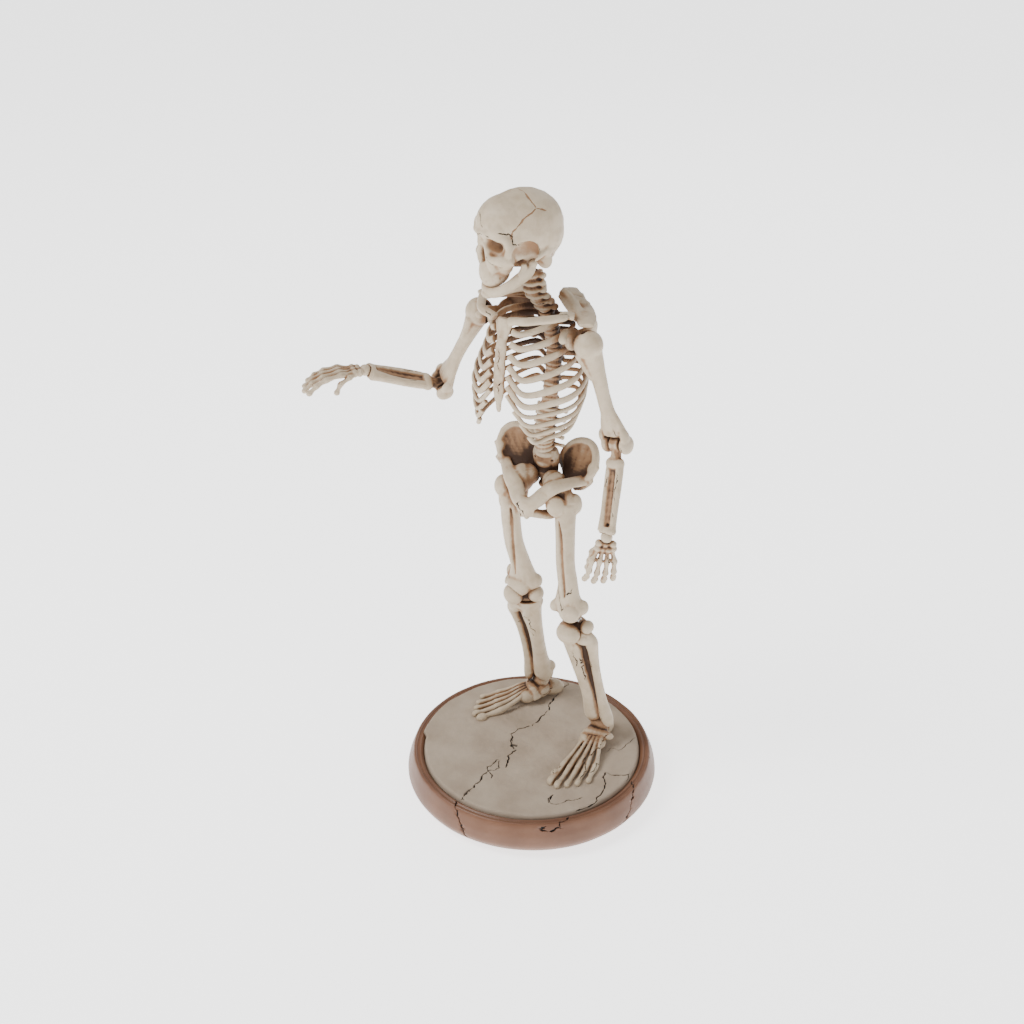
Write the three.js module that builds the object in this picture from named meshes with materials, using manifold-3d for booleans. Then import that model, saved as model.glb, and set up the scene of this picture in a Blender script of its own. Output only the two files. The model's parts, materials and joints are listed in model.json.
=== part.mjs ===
// Posable skeleton figure standing on a round base of cracked earth.
// Millimetres, +Z up. The figure faces -Y and its own left is +X.
// The origin is the centre of the felt pad's underside, on the surface that the figure stands on.
import * as THREE from 'three';
import { mergeVertices } from 'three/addons/utils/BufferGeometryUtils.js';
import Module from 'manifold-3d';

const wasm = await Module();
wasm.setup();

// ---- Driving dimensions ----

// Fits
const FIT = 0.3; // clearance of a pin in its bore, a ball in its socket and a bone beside the next
const GLUE = 0.1; // glue line between faces that are bonded

// Base
const BASE_DIAMETER = 120;
const BASE_UNDERSIDE_DIAMETER = 101;
const BASE_HEIGHT = 18.5;
const BULGE_HEIGHT = 7; // height of the widest ring
const RIM_WIDTH = 4.6;
const GROUND_THICKNESS = 5.5;
const GROUND_TOP = 19; // height of the ground that the feet stand on
const FELT_DIAMETER = 94;
const FELT_THICKNESS = 1.5;
const FELT_PROUD = 0.3; // how far the felt stands below the plinth

// Stance
const BODY_X = -8; // the body leans to its right of the base's centre
const HIP_Y = 13;
const HIP_HEIGHT = 154;
const HIP_SPACING = 24;
const ANKLE_RISE = 11; // ankle centre above the ground
const LEFT_ANKLE = [23, 24];
const RIGHT_ANKLE = [-21, 33];
const LEFT_KNEE = [0, -8]; // where each knee stands from the middle of the line from hip to ankle
const RIGHT_KNEE = [2.5, -6];
const LEFT_FOOT_TURN = 13; // degrees that the toes point outwards
const RIGHT_FOOT_TURN = 27;
const PELVIS_TURN = 10; // degrees, towards its left

// Legs
const HEAD_OF_FEMUR = 4.6; // radius
const KNEE_LOBE = 5.4; // radius of the lobes that roll on the shin
const KNEE_WIDTH = 15;
const KNEE_TONGUE = 4;
const ANKLE_BALL = 3.6;
const LEFT_FOOT_LENGTH = 43; // ankle to toe tips
const RIGHT_FOOT_LENGTH = 38;

// Pins
const PIN_RADIUS = 1.2;
const KNEE_PIN = 11;
const HIP_PIN = 9;
const ELBOW_PIN = 11;
const PIN_BALL = 2.4; // radius of the ball on a neck or shoulder pin

// Trunk
const CHEST_Y = 7; // middle of the rib cage, front to back
const CHEST_RISE = 85; // top of the sternum above the hips
const WING_SWEEP = 18; // degrees that the hip wings run forwards
const WING_FLARE = 22; // degrees that they lean outwards
const BLADE_TURN = 34; // degrees that a shoulder blade faces sideways
const BLADE_LEAN = 14; // degrees that its top leans forwards
const CHEST_WIDTH = 51;
const CHEST_DEPTH = 42;
const STERNUM_LENGTH = 35;
const STERNUM_WIDTH = 6;
const RIB_PAIRS = 10;
const RIB_TALL = 2.9;
const RIB_THICK = 2;
const NECK_RISE = 21; // from the top of the sternum to the ball that the skull turns on

// Arms
const SHOULDER_INSET = 2.2; // how far each shoulder's ball stands in over the widest rib
const SHOULDER_DROP = 9; // shoulders below the top of the sternum
const SHOULDER_Y = 8;
const SHOULDER_BALL = 6.2;
const HUMERUS_LENGTH = 47;
const FOREARM_LENGTH = 40;
const ELBOW_WIDTH = 14;
const ELBOW_TONGUE = 4.6;
const WRIST_BALL = 2.6;
const HAND_LENGTH = 29;

const SHOULDER_PIN = 10; // from the ball's centre to the end inside the scapula

// How each arm is posed at rest: directions, and which way the fingers bend.
const ARMS = {
  left: {
    upperArm: [10, 9, -45], forearmAim: [7, -15, -36], handAim: [-1, -2, -23],
    handAcross: [0.766, 0.643, 0], palm: 1, bend: 16, thumbBend: 8,
  },
  right: {
    upperArm: [-23.5, 0, -42], forearmAim: [-13.5, -34, 14.5], handAim: [-15, -25, 3],
    handAcross: [-0.86, 0.51, 0], palm: -1, bend: 15, thumbBend: 34,
  },
};

// Head
const SKULL_LENGTH = 37.4;
const SKULL_WIDTH = 29;
const SKULL_HEIGHT = 32;
const HEAD_TURN = -24; // degrees, towards its right
const HEAD_NOD = 8;

const CHEST_HEIGHT = HIP_HEIGHT + CHEST_RISE;
const SHOULDER_HEIGHT = CHEST_HEIGHT - SHOULDER_DROP;
const NECK_TOP = CHEST_HEIGHT + NECK_RISE;

// ---- Materials ----

const bone = new THREE.MeshStandardMaterial({ name: 'bone', color: 0xcdbfa8, roughness: 0.62 });
const earth = new THREE.MeshStandardMaterial({ name: 'earth', color: 0xb7ac9d, roughness: 0.85 });
const clay = new THREE.MeshStandardMaterial({ name: 'terracotta', color: 0x9f7359, roughness: 0.5 });
const steel = new THREE.MeshStandardMaterial({
  name: 'steel', color: 0x9a9a98, roughness: 0.35, metalness: 1,
});
const felt = new THREE.MeshStandardMaterial({ name: 'felt', color: 0x3a3532, roughness: 0.95 });

// ---- Closed solids from three.js geometries ----

const figure = new THREE.Group();
const radians = THREE.MathUtils.degToRad;
const point = (x, y, z) => new THREE.Vector3(x, y, z);

// A geometry as a solid. Points that coincide are merged and the empty triangles at poles dropped.
function solid(geometry) {
  geometry.deleteAttribute('normal');
  geometry.deleteAttribute('uv');
  const merged = mergeVertices(geometry, 1e-4);
  const corners = merged.index.array;
  const kept = [];
  for (let i = 0; i < corners.length; i += 3) {
    const [a, b, c] = corners.slice(i, i + 3);
    if (a !== b && b !== c && c !== a) kept.push(a, b, c);
  }
  return new wasm.Manifold(new wasm.Mesh({
    numProp: 3,
    vertProperties: Float32Array.from(merged.attributes.position.array),
    triVerts: Uint32Array.from(kept),
  }));
}

const joined = (pieces) => pieces.reduce((whole, piece) => whole.add(piece));
const cut = (whole, tools) => tools.reduce((left, tool) => left.subtract(tool), whole);

function named(name, manifold, material) {
  const { vertProperties, triVerts } = manifold.getMesh();
  const geometry = new THREE.BufferGeometry();
  geometry.setAttribute('position', new THREE.BufferAttribute(vertProperties, 3));
  geometry.setIndex(new THREE.BufferAttribute(triVerts, 1));
  geometry.computeVertexNormals();
  const mesh = new THREE.Mesh(geometry, material);
  mesh.name = name;
  return mesh;
}

// A lump of bone: an ellipsoid, turned by Euler angles in degrees.
function lump(centre, radii, turn = [0, 0, 0], sides = 8) {
  const geometry = new THREE.SphereGeometry(1, sides, Math.round(sides * 0.6));
  geometry.rotateX(Math.PI / 2);
  geometry.scale(...radii);
  geometry.applyMatrix4(new THREE.Matrix4().makeRotationFromEuler(new THREE.Euler(...turn.map(radians))));
  geometry.translate(...centre);
  return solid(geometry);
}

const ball = (centre, radius, sides = 8) => lump(centre, [radius, radius, radius], [0, 0, 0], sides);

// A rod along X through a centre, as for a pin, a bore or a tongue.
function rod(centre, radius, length, sides = 8) {
  const geometry = new THREE.CylinderGeometry(radius, radius, length, sides);
  geometry.rotateZ(Math.PI / 2);
  geometry.translate(...centre);
  return solid(geometry);
}

function block(centre, size) {
  const geometry = new THREE.BoxGeometry(...size);
  geometry.translate(...centre);
  return solid(geometry);
}

// A turned shape about the Z axis from rows of [height, radius], lowest first.
function turned(rows, { sides = 8, offset = [0, 0, 0], flat = [1, 1] } = {}) {
  const ends = [[rows[0][0], 0], ...rows, [rows.at(-1)[0], 0]];
  const outline = ends.map(([height, radius]) => new THREE.Vector2(radius, height));
  const geometry = new THREE.LatheGeometry(outline, sides);
  geometry.rotateX(Math.PI / 2);
  geometry.scale(flat[0], flat[1], 1);
  geometry.translate(...offset);
  return solid(geometry);
}

// A smooth curve whose section keeps one side towards `up`, so a flat section doesn't twist.
class UprightCurve extends THREE.CatmullRomCurve3 {
  constructor(points, up) {
    super(points.map((place) => point(...place)), false, 'centripetal');
    this.up = up;
  }

  computeFrenetFrames(segments) {
    const frames = { tangents: [], normals: [], binormals: [] };
    for (let i = 0; i <= segments; i += 1) {
      const tangent = this.getTangentAt(i / segments);
      const normal = this.up.clone().addScaledVector(tangent, -this.up.dot(tangent)).normalize();
      frames.tangents.push(tangent);
      frames.normals.push(normal);
      frames.binormals.push(tangent.clone().cross(normal));
    }
    return frames;
  }
}

// A bar along a curve, `tall` towards `up` and `thick` across it.
function bar(points, tall, thick, { steps = 8, sides = 6, up = point(0, 0, 1) } = {}) {
  const section = new THREE.Shape();
  for (let i = 0; i < sides; i += 1) {
    const angle = (2 * Math.PI * (i + 0.5)) / sides;
    const corner = [(tall / 2) * Math.cos(angle), (thick / 2) * Math.sin(angle)];
    if (i === 0) section.moveTo(...corner);
    else section.lineTo(...corner);
  }
  section.closePath();
  const extrudePath = new UprightCurve(points, up);
  return solid(new THREE.ExtrudeGeometry(section, { steps, extrudePath, curveSegments: 1 }));
}

// A frame at a joint: its origin there, its -Z along the bone and its +X towards `across`.
function jointFrame(start, end, across) {
  const up = start.clone().sub(end).normalize();
  const right = across.clone().addScaledVector(up, -across.dot(up)).normalize();
  const group = new THREE.Group();
  group.position.copy(start);
  group.quaternion.setFromRotationMatrix(new THREE.Matrix4().makeBasis(right, up.clone().cross(right), up));
  figure.add(group);
  return group;
}

// A solid of one frame, seen from another.
function throughFrames(manifold, from, to) {
  from.updateMatrixWorld(true);
  to.updateMatrixWorld(true);
  return manifold.transform(to.matrixWorld.clone().invert().multiply(from.matrixWorld).elements);
}

const SIDES = [
  {
    side: 1, name: 'left', ankle: LEFT_ANKLE, kneeShift: LEFT_KNEE,
    footTurn: LEFT_FOOT_TURN, footLength: LEFT_FOOT_LENGTH,
  },
  {
    side: -1, name: 'right', ankle: RIGHT_ANKLE, kneeShift: RIGHT_KNEE,
    footTurn: RIGHT_FOOT_TURN, footLength: RIGHT_FOOT_LENGTH,
  },
];

// ---- Base: felt pad, turned plinth and ground plate ----

const groundRadius = BASE_DIAMETER / 2 - RIM_WIDTH - 3.4;

const pad = new THREE.CylinderGeometry(FELT_DIAMETER / 2, FELT_DIAMETER / 2, FELT_THICKNESS, 24);
pad.rotateX(Math.PI / 2);
pad.translate(0, 0, FELT_THICKNESS / 2);
figure.add(named('felt_pad', solid(pad), felt));

function plinth() {
  const outer = BASE_DIAMETER / 2;
  const recess = groundRadius + FIT;
  const outline = new THREE.Path();
  outline.moveTo(0, FELT_THICKNESS + GLUE);
  outline.lineTo(FELT_DIAMETER / 2 + FIT, FELT_THICKNESS + GLUE);
  outline.lineTo(FELT_DIAMETER / 2 + FIT, FELT_PROUD);
  outline.lineTo(BASE_UNDERSIDE_DIAMETER / 2, FELT_PROUD);
  outline.quadraticCurveTo(outer, FELT_PROUD, outer, BULGE_HEIGHT);
  outline.quadraticCurveTo(outer, BASE_HEIGHT, recess + RIM_WIDTH, BASE_HEIGHT);
  outline.lineTo(recess + 1, BASE_HEIGHT);
  outline.lineTo(recess, BASE_HEIGHT - 1);
  outline.lineTo(recess, GROUND_TOP - GROUND_THICKNESS - GLUE);
  outline.lineTo(0, GROUND_TOP - GROUND_THICKNESS - GLUE);
  const geometry = new THREE.LatheGeometry(outline.getPoints(3), 36);
  geometry.rotateX(Math.PI / 2);
  return solid(geometry);
}
figure.add(named('base_plinth', plinth(), clay));

const ground = turned([
  [GROUND_TOP - GROUND_THICKNESS, groundRadius],
  [GROUND_TOP - 0.6, groundRadius],
  [GROUND_TOP, groundRadius - 1.2],
], { sides: 36 });
figure.add(named('ground_plate', ground, earth));

// ---- Legs: foot, ankle ball, shin, knee pin, femur and hip pin on each side ----

const pelvisGroup = new THREE.Group();
pelvisGroup.position.set(BODY_X, HIP_Y, HIP_HEIGHT);
pelvisGroup.rotation.z = radians(PELVIS_TURN);
pelvisGroup.updateMatrixWorld(true);
figure.add(pelvisGroup);

const hipCentre = (side) => pelvisGroup.localToWorld(point((side * HIP_SPACING) / 2, 0, 0));

// The pin in a hip, along the pelvis's own X. `grow` gives its bore.
function hipRod(side, grow) {
  const middle = (side * HIP_SPACING) / 2 - side * 2;
  return rod([middle, 0, 0], PIN_RADIUS + grow, HIP_PIN + 2 * grow, 8);
}

// Foot about the ankle centre, toes towards -Y, cut flat where it stands on the ground.
function foot(side, footLength) {
  const sole = -ANKLE_RISE + GLUE;
  const pieces = [
    lump([0, 5, sole + 4], [4.2, 7, 4.8]),
    lump([0, -3, -5.2], [5.6, 8, 5.2]),
  ];
  const toeReach = [1, 0.98, 0.94, 0.88, 0.8]; // big toe first
  toeReach.forEach((reach, toe) => {
    const across = side * (toe - 1.7);
    const tip = -footLength * reach;
    const knuckle = tip * 0.68;
    const width = toe === 0 ? 4.2 : 3.1;
    pieces.push(bar([
      [across * 1.7, -5, -4.6],
      [across * 2.7, knuckle * 0.62, sole + 5.4],
      [across * 3.7, knuckle, sole + 2.2],
      [across * 4, tip * 0.87, sole + 2.4],
      [across * 4.1, tip, sole + 1.1],
    ], width, width, { steps: 5, sides: 5 }));
  });
  return cut(joined(pieces), [
    ball([0, 0, 0], ANKLE_BALL + FIT),
    block([0, 0, sole - 10], [80, 120, 20]),
  ]);
}

// Shin about the knee centre: tibia and fibula with the slot between them, a tongue on top.
function shin(side, length) {
  const top = -KNEE_LOBE - FIT;
  const foot = -length;
  const tibia = turned([
    [foot + 1.5, 3.4],
    [foot + 6, 4.2],
    [foot + 14, 2.9],
    [foot + length * 0.55, 3.1],
    [top - 12, 4],
    [top - 5, 5.6],
    [top, 6],
  ], { offset: [-side * 1.6, 0, 0] });
  const fibula = bar([
    [side * 4.8, 1.5, top - 4],
    [side * 6.4, 1.6, top - 14],
    [side * 5.8, 1, foot * 0.62],
    [side * 4.6, 0.4, foot + 8],
    [side * 3.4, 0, foot + 1],
  ], 3.2, 3.2, { steps: 6, sides: 5, up: point(0, -1, 0) });
  const bulk = cut(joined([
    tibia,
    fibula,
    lump([0, 0.5, top - 3], [KNEE_WIDTH / 2, 6, 4.2]),
    lump([-side, -4.5, top - 9], [2.6, 2.4, 4]),
    lump([-side * 2, 0, foot + 4], [4.4, 4.2, 3.8]),
  ]), [
    rod([0, 0, 0], KNEE_LOBE + FIT + 0.25, KNEE_WIDTH + 8, 10),
    ball([0, 0, foot], ANKLE_BALL + FIT),
  ]);
  const tongue = joined([
    rod([0, 0, 0], KNEE_LOBE - 1.6, KNEE_TONGUE),
    block([0, 0, (top - 2) / 2], [KNEE_TONGUE, 5.6, 2 - top]),
  ]);
  return cut(joined([bulk, tongue]), [rod([0, 0, 0], PIN_RADIUS + FIT, KNEE_TONGUE + 2)]);
}

// Femur about the hip centre: head, neck, trochanter and shaft. `grow` gives the space it needs.
function femurTop(side, grow) {
  const width = 5.6 + 2 * grow;
  return [
    ball([0, 0, 0], HEAD_OF_FEMUR + grow),
    bar([[0, 0, 0], [side * 3, 0.5, -1], [side * 6, 1, -3.5]], width, width, { steps: 2 }),
    lump([side * 5.2, 1, -3], [3.9 + grow, 4.4 + grow, 5 + grow]),
  ];
}

function femur(side, length) {
  const knee = -length;
  const cheek = (KNEE_WIDTH - KNEE_TONGUE - 2 * FIT) / 2;
  const lobeX = (KNEE_TONGUE + cheek) / 2 + FIT;
  const pieces = [
    ...femurTop(side, 0),
    bar([
      [side * 4, 1, -6],
      [side * 2.8, -0.5, -length * 0.3],
      [side * 1.2, -0.8, -length * 0.65],
      [0, 0, knee + 8],
    ], 8.4, 8.4, { steps: 5, up: point(0, -1, 0) }),
    lump([0, -0.5, knee + 8], [KNEE_WIDTH / 2 - 1, 4.4, 6]),
    rod([0, 0, knee], KNEE_LOBE, KNEE_WIDTH, 10),
    lump([lobeX, 0, knee + 2], [cheek / 2 + 1.4, 5.2, 5.4]),
    lump([-lobeX, 0, knee + 2], [cheek / 2 + 1.4, 5.2, 5.4]),
  ];
  return cut(joined(pieces), [
    block([0, 0, knee - 1.6], [KNEE_TONGUE + 2 * FIT, 30, 2 * KNEE_LOBE + 3.2]),
    rod([0, 0, knee], PIN_RADIUS + FIT, KNEE_PIN + 2 * FIT),
  ]);
}

for (const { side, name, ankle, kneeShift, footTurn, footLength } of SIDES) {
  const ankleCentre = point(...ankle, GROUND_TOP + ANKLE_RISE);
  const hip = hipCentre(side);
  const knee = hip.clone().lerp(ankleCentre, 0.5).add(point(...kneeShift, 0));
  const hinge = knee.clone().sub(hip).cross(ankleCentre.clone().sub(knee)).normalize();

  const footGroup = new THREE.Group();
  footGroup.position.copy(ankleCentre);
  footGroup.rotation.z = radians(side * footTurn);
  footGroup.add(named(`${name}_foot`, foot(side, footLength), bone));
  footGroup.add(named(`${name}_ankle_ball`, ball([0, 0, 0], ANKLE_BALL), bone));
  figure.add(footGroup);

  const shinGroup = jointFrame(knee, ankleCentre, hinge);
  shinGroup.add(named(`${name}_shin`, shin(side, knee.distanceTo(ankleCentre)), bone));
  shinGroup.add(named(`${name}_knee_pin`, rod([0, 0, 0], PIN_RADIUS, KNEE_PIN, 8), steel));

  const thighGroup = jointFrame(hip, knee, hinge);
  const bore = throughFrames(hipRod(side, FIT), pelvisGroup, thighGroup);
  thighGroup.add(named(`${name}_femur`, femur(side, hip.distanceTo(knee)).subtract(bore), bone));
  pelvisGroup.add(named(`${name}_hip_pin`, hipRod(side, 0), steel));
}

// ---- Pelvis and sacrum, about the middle of the two hips ----

const SACRUM_TOP = HIP_HEIGHT + 16;
const SACRUM_Y = 8; // behind the line of the hips

function sacrum(grow) {
  const wedge = lump([0, SACRUM_Y, 6], [6.4 + grow, 3.6 + grow, 12 + grow], [-14, 0, 0]);
  return wedge.subtract(block([0, SACRUM_Y, SACRUM_TOP - HIP_HEIGHT + 10 + grow], [30, 30, 20]));
}

// The flared wing of the left hip bone, from the sacrum out to its front corner.
function wing() {
  const outline = new THREE.Shape();
  outline.moveTo(12, 1);
  outline.lineTo(3, 0);
  outline.splineThru([[-1, 8], [0, 15], [4, 20.5], [10, 23], [15.5, 21.5], [18.5, 16], [17.5, 9], [15, 4]]
    .map(([along, rise]) => new THREE.Vector2(along, rise)));
  outline.closePath();
  const geometry = new THREE.ExtrudeGeometry(outline, { depth: 2.6, bevelEnabled: false, curveSegments: 1 });
  geometry.rotateX(Math.PI / 2 + radians(-WING_FLARE));
  geometry.rotateZ(radians(-WING_SWEEP));
  geometry.translate(4.6, SACRUM_Y - 1, -1);
  return solid(geometry);
}

function pelvis() {
  const pieces = [lump([0, -11, -6], [3, 2.4, 4], [0, 0, 0], 8)];
  const clearance = [block([0, SACRUM_Y, SACRUM_TOP - HIP_HEIGHT + 10], [17, 20, 20]), sacrum(FIT)];
  for (const { side } of SIDES) {
    const hipX = (side * HIP_SPACING) / 2;
    pieces.push(side > 0 ? wing() : wing().mirror([1, 0, 0]));
    pieces.push(lump([hipX - side * 3, 0, 0], [5.4, 6.6, 7]));
    pieces.push(bar([
      [hipX - side * 3, -3, -1],
      [side * 5, -9.5, -3],
      [0, -11, -5],
    ], 5, 4, { steps: 4 }));
    pieces.push(bar([
      [hipX - side * 3, 3, -3],
      [hipX - side * 3, 1, -11],
      [hipX - side * 6, -5, -12],
      [side, -11, -8],
    ], 3.6, 4.6, { steps: 6, up: point(side, 0, 0) }));
    clearance.push(...femurTop(side, FIT + 0.3).map((piece) => piece.translate([hipX, 0, 0])));
    clearance.push(block([hipX + side * 8, 0, -5], [16, 12, 14]));
    clearance.push(hipRod(side, FIT));
  }
  return cut(joined(pieces), clearance);
}

pelvisGroup.add(named('pelvis', pelvis(), bone));
pelvisGroup.add(named('sacrum', sacrum(0), bone));

// ---- Spine: lumbar, thoracic and cervical ----

const trunk = new THREE.Group();
trunk.position.x = BODY_X;
figure.add(trunk);

const LUMBAR_TOP = SACRUM_TOP + 20;
const THORAX_TOP = CHEST_HEIGHT - 3;
const NECK_PIN_DEPTH = 8; // how far the pin runs down into the neck
const CERVICAL_TOP = NECK_TOP - 4.5;
const CHEST_BACK = CHEST_Y + CHEST_DEPTH / 2 - 5; // middle of the vertebrae behind the ribs

// Front-to-back place of the spine at a height: hollow in the loin, full in the chest.
const spineLine = new THREE.CatmullRomCurve3([
  point(0, HIP_Y + SACRUM_Y, HIP_HEIGHT),
  point(0, HIP_Y + 3.5, HIP_HEIGHT + 22),
  point(0, CHEST_BACK - 3, LUMBAR_TOP + 3),
  point(0, CHEST_BACK, (LUMBAR_TOP + THORAX_TOP) / 2 + 2),
  point(0, CHEST_BACK - 6, THORAX_TOP),
  point(0, SHOULDER_Y, CERVICAL_TOP - NECK_PIN_DEPTH),
  point(0, SHOULDER_Y, NECK_TOP),
]);
const spineSamples = spineLine.getPoints(200);
const spineAt = (height) => spineSamples.find((place) => place.z >= height).y;

// A run of vertebrae, each a drum with a spine behind and a process to each side.
function vertebrae({ bottom, top, count, radius, reach, spinous }) {
  const pitch = (top - bottom) / count;
  const pieces = [];
  for (let i = 0; i < count; i += 1) {
    const base = bottom + i * pitch;
    const y = spineAt(base + pitch / 2);
    pieces.push(turned([[base, radius], [base + pitch, radius * 0.9]], { sides: 6, offset: [0, y, 0] }));
    const behind = y + radius * 0.6 + spinous / 2;
    pieces.push(block([0, behind, base + pitch * 0.45], [1.5, spinous + 1, pitch * 0.6]));
    pieces.push(block([0, y + radius * 0.8, base + pitch * 0.5], [reach * 2, 1.6, pitch * 0.5]));
  }
  return joined(pieces);
}

const LUMBAR = {
  bottom: SACRUM_TOP + FIT, top: LUMBAR_TOP, count: 5, radius: 4.2, reach: 7.5, spinous: 4,
};
const THORACIC = {
  bottom: LUMBAR_TOP + FIT, top: THORAX_TOP, count: 12, radius: 3.2, reach: 3.1, spinous: 3.4,
};
const CERVICAL = {
  bottom: THORAX_TOP + FIT, top: CERVICAL_TOP, count: 6, radius: 3.2, reach: 4.8, spinous: 2.4,
};

trunk.add(named('lumbar_spine', vertebrae(LUMBAR), bone));
trunk.add(named('thoracic_spine', vertebrae(THORACIC), bone));

const neckBore = turned([
  [NECK_TOP - 4 - NECK_PIN_DEPTH - FIT, PIN_RADIUS + FIT],
  [NECK_TOP, PIN_RADIUS + FIT],
], { offset: [0, SHOULDER_Y, 0] });
trunk.add(named('cervical_spine', vertebrae(CERVICAL).subtract(neckBore), bone));

// ---- Ribs and sternum ----

// From the first rib to the last: share of the chest's width, then how far the back end, the side,
// the front bend and the front end lie below the top of the chest, and how far the end is from the sternum.
const RIB_REACH = [0.5, 0.62, 0.71, 0.83, 0.94, 1, 1, 0.97, 0.91, 0.84];
const RIB_BACK = [2.4, 6, 9.8, 13.6, 17.4, 21.2, 25, 28.8, 32.6, 36.4];
const RIB_SIDE = [1, 6, 11.4, 17, 22.8, 28.4, 33.2, 37.8, 42.2, 46.4];
const RIB_BEND = [2.4, 8.2, 14.6, 21, 27, 32, 36.4, 40.6, 44.8, 48.8];
const RIB_END = [4, 9, 13.8, 18.4, 22.8, 27, 31, 37.6, 43, 48.4];
const RIB_END_ACROSS = [0, 0, 0, 0, 0, 0, 0, 3.2, 6.2, 9.2];

const chestFront = CHEST_Y - CHEST_DEPTH / 2;
const sternumFront = (fall) => chestFront + 4.2 * (1 - fall / STERNUM_LENGTH) ** 2;

function rib(side, i) {
  const reach = (CHEST_WIDTH / 2) * RIB_REACH[i];
  const deep = (CHEST_DEPTH / 2) * (0.62 + 0.38 * Math.sqrt(RIB_REACH[i]));
  const level = (fall) => CHEST_HEIGHT - 2.5 - fall;
  const back = spineAt(level(RIB_BACK[i]));
  const gap = THORACIC.radius + RIB_THICK / 2 + FIT;
  const endX = STERNUM_WIDTH / 2 + FIT + RIB_THICK / 2 + RIB_END_ACROSS[i];
  const endY = sternumFront(Math.min(RIB_END[i], STERNUM_LENGTH)) + 0.12 * RIB_END_ACROSS[i] ** 1.5;
  return bar([
    [side * gap, back + 0.5, level(RIB_BACK[i])],
    [side * (gap + reach * 0.34), Math.min(back + 3.6, CHEST_Y + deep), level(RIB_BACK[i] + 0.4)],
    [side * reach * 0.86, CHEST_Y + deep * 0.5, level((RIB_BACK[i] + RIB_SIDE[i]) / 2)],
    [side * reach, CHEST_Y - deep * 0.05, level(RIB_SIDE[i])],
    [side * reach * 0.86, CHEST_Y - deep * 0.56, level((RIB_SIDE[i] + RIB_BEND[i]) / 2)],
    [side * (endX + (reach * 0.86 - endX) * 0.45), endY + 1.6, level(RIB_BEND[i])],
    [side * endX, endY, CHEST_HEIGHT - RIB_END[i]],
  ], RIB_TALL - (i > 5 ? 1 : 0), RIB_THICK, { steps: 8 });
}

for (const { side, name } of SIDES) {
  for (let i = 0; i < RIB_PAIRS; i += 1) {
    trunk.add(named(`${name}_rib_${String(i + 1).padStart(2, '0')}`, rib(side, i), bone));
  }
}

const breastbone = bar([0, 0.25, 0.55, 0.9, 1.06].map((share) => [
  0, sternumFront(Math.min(share, 1) * STERNUM_LENGTH), CHEST_HEIGHT - share * STERNUM_LENGTH,
]), 2.4, STERNUM_WIDTH, { steps: 6, up: point(0, -1, 0) });
trunk.add(named('sternum', breastbone, bone));

// ---- Shoulder girdle ----

const shoulderX = CHEST_WIDTH / 2 + SHOULDER_BALL - SHOULDER_INSET;
const shoulderRoof = SHOULDER_HEIGHT + SHOULDER_BALL + 2; // middle of the acromion over the ball

function clavicle(side) {
  return bar([
    [side * (STERNUM_WIDTH / 2 + 1.4), chestFront + 2.4, CHEST_HEIGHT + 0.6],
    [side * shoulderX * 0.42, chestFront + 5.2, CHEST_HEIGHT + 2.8],
    [side * shoulderX * 0.72, SHOULDER_Y - 6, CHEST_HEIGHT + 3],
    [side * (shoulderX - 5), SHOULDER_Y - 1, shoulderRoof + 3],
  ], 3, 3.4, { steps: 7 });
}

function bladePlate() {
  const corners = [[0, 12], [3, -14], [6, -17], [9, -13], [15, 0], [16, 4], [12, 9], [5, 12.5]];
  const outline = new THREE.Shape(corners.map((corner) => new THREE.Vector2(...corner)));
  const geometry = new THREE.ExtrudeGeometry(outline, { depth: 1.8, bevelEnabled: false });
  geometry.rotateX(Math.PI / 2);
  geometry.rotateX(radians(BLADE_LEAN));
  geometry.rotateZ(radians(-BLADE_TURN));
  geometry.translate(shoulderX - 19, SHOULDER_Y + 22.5, SHOULDER_HEIGHT + 1);
  return solid(geometry);
}

function scapula(side) {
  const socketX = side * (shoulderX - SHOULDER_BALL - FIT - 2.2);
  return cut(joined([
    side > 0 ? bladePlate() : bladePlate().mirror([1, 0, 0]),
    lump([socketX, SHOULDER_Y + 0.5, SHOULDER_HEIGHT], [2.8, 3.9, 4.4]),
    bar([
      [socketX, SHOULDER_Y + 2, SHOULDER_HEIGHT],
      [side * (shoulderX - 6.4), SHOULDER_Y + 9, SHOULDER_HEIGHT + 1.5],
      [side * (shoulderX - 8.4), SHOULDER_Y + 15.5, SHOULDER_HEIGHT + 2],
    ], 6, 2.6, { steps: 3 }),
    bar([
      [side * (shoulderX - 18), SHOULDER_Y + 20.5, SHOULDER_HEIGHT + 6],
      [side * (shoulderX - 8), SHOULDER_Y + 15, SHOULDER_HEIGHT + 8],
      [side * (shoulderX - 1), SHOULDER_Y + 8, shoulderRoof],
      [side * shoulderX, SHOULDER_Y, shoulderRoof],
    ], 2.6, 4.2, { steps: 6 }),
    bar([
      [socketX, SHOULDER_Y, SHOULDER_HEIGHT + 3],
      [socketX, SHOULDER_Y - 5, SHOULDER_HEIGHT + 4.5],
      [socketX + side * 1.6, SHOULDER_Y - 8, SHOULDER_HEIGHT + 2.6],
    ], 2.8, 2.8, { steps: 3 }),
  ]), [
    ball([side * shoulderX, SHOULDER_Y, SHOULDER_HEIGHT], SHOULDER_BALL + FIT, 8),
    rod([side * shoulderX, SHOULDER_Y, SHOULDER_HEIGHT], PIN_RADIUS + FIT, 2 * (SHOULDER_PIN + FIT)),
  ]);
}

for (const { side, name } of SIDES) {
  trunk.add(named(`${name}_clavicle`, clavicle(side), bone));
  trunk.add(named(`${name}_scapula`, scapula(side), bone));
}

// ---- Head: neck pin, skull and mandible, about the ball that the skull turns on ----

const head = new THREE.Group();
head.position.set(BODY_X, SHOULDER_Y, NECK_TOP);
head.rotation.set(radians(HEAD_NOD), 0, radians(HEAD_TURN), 'ZYX');
figure.add(head);

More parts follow.
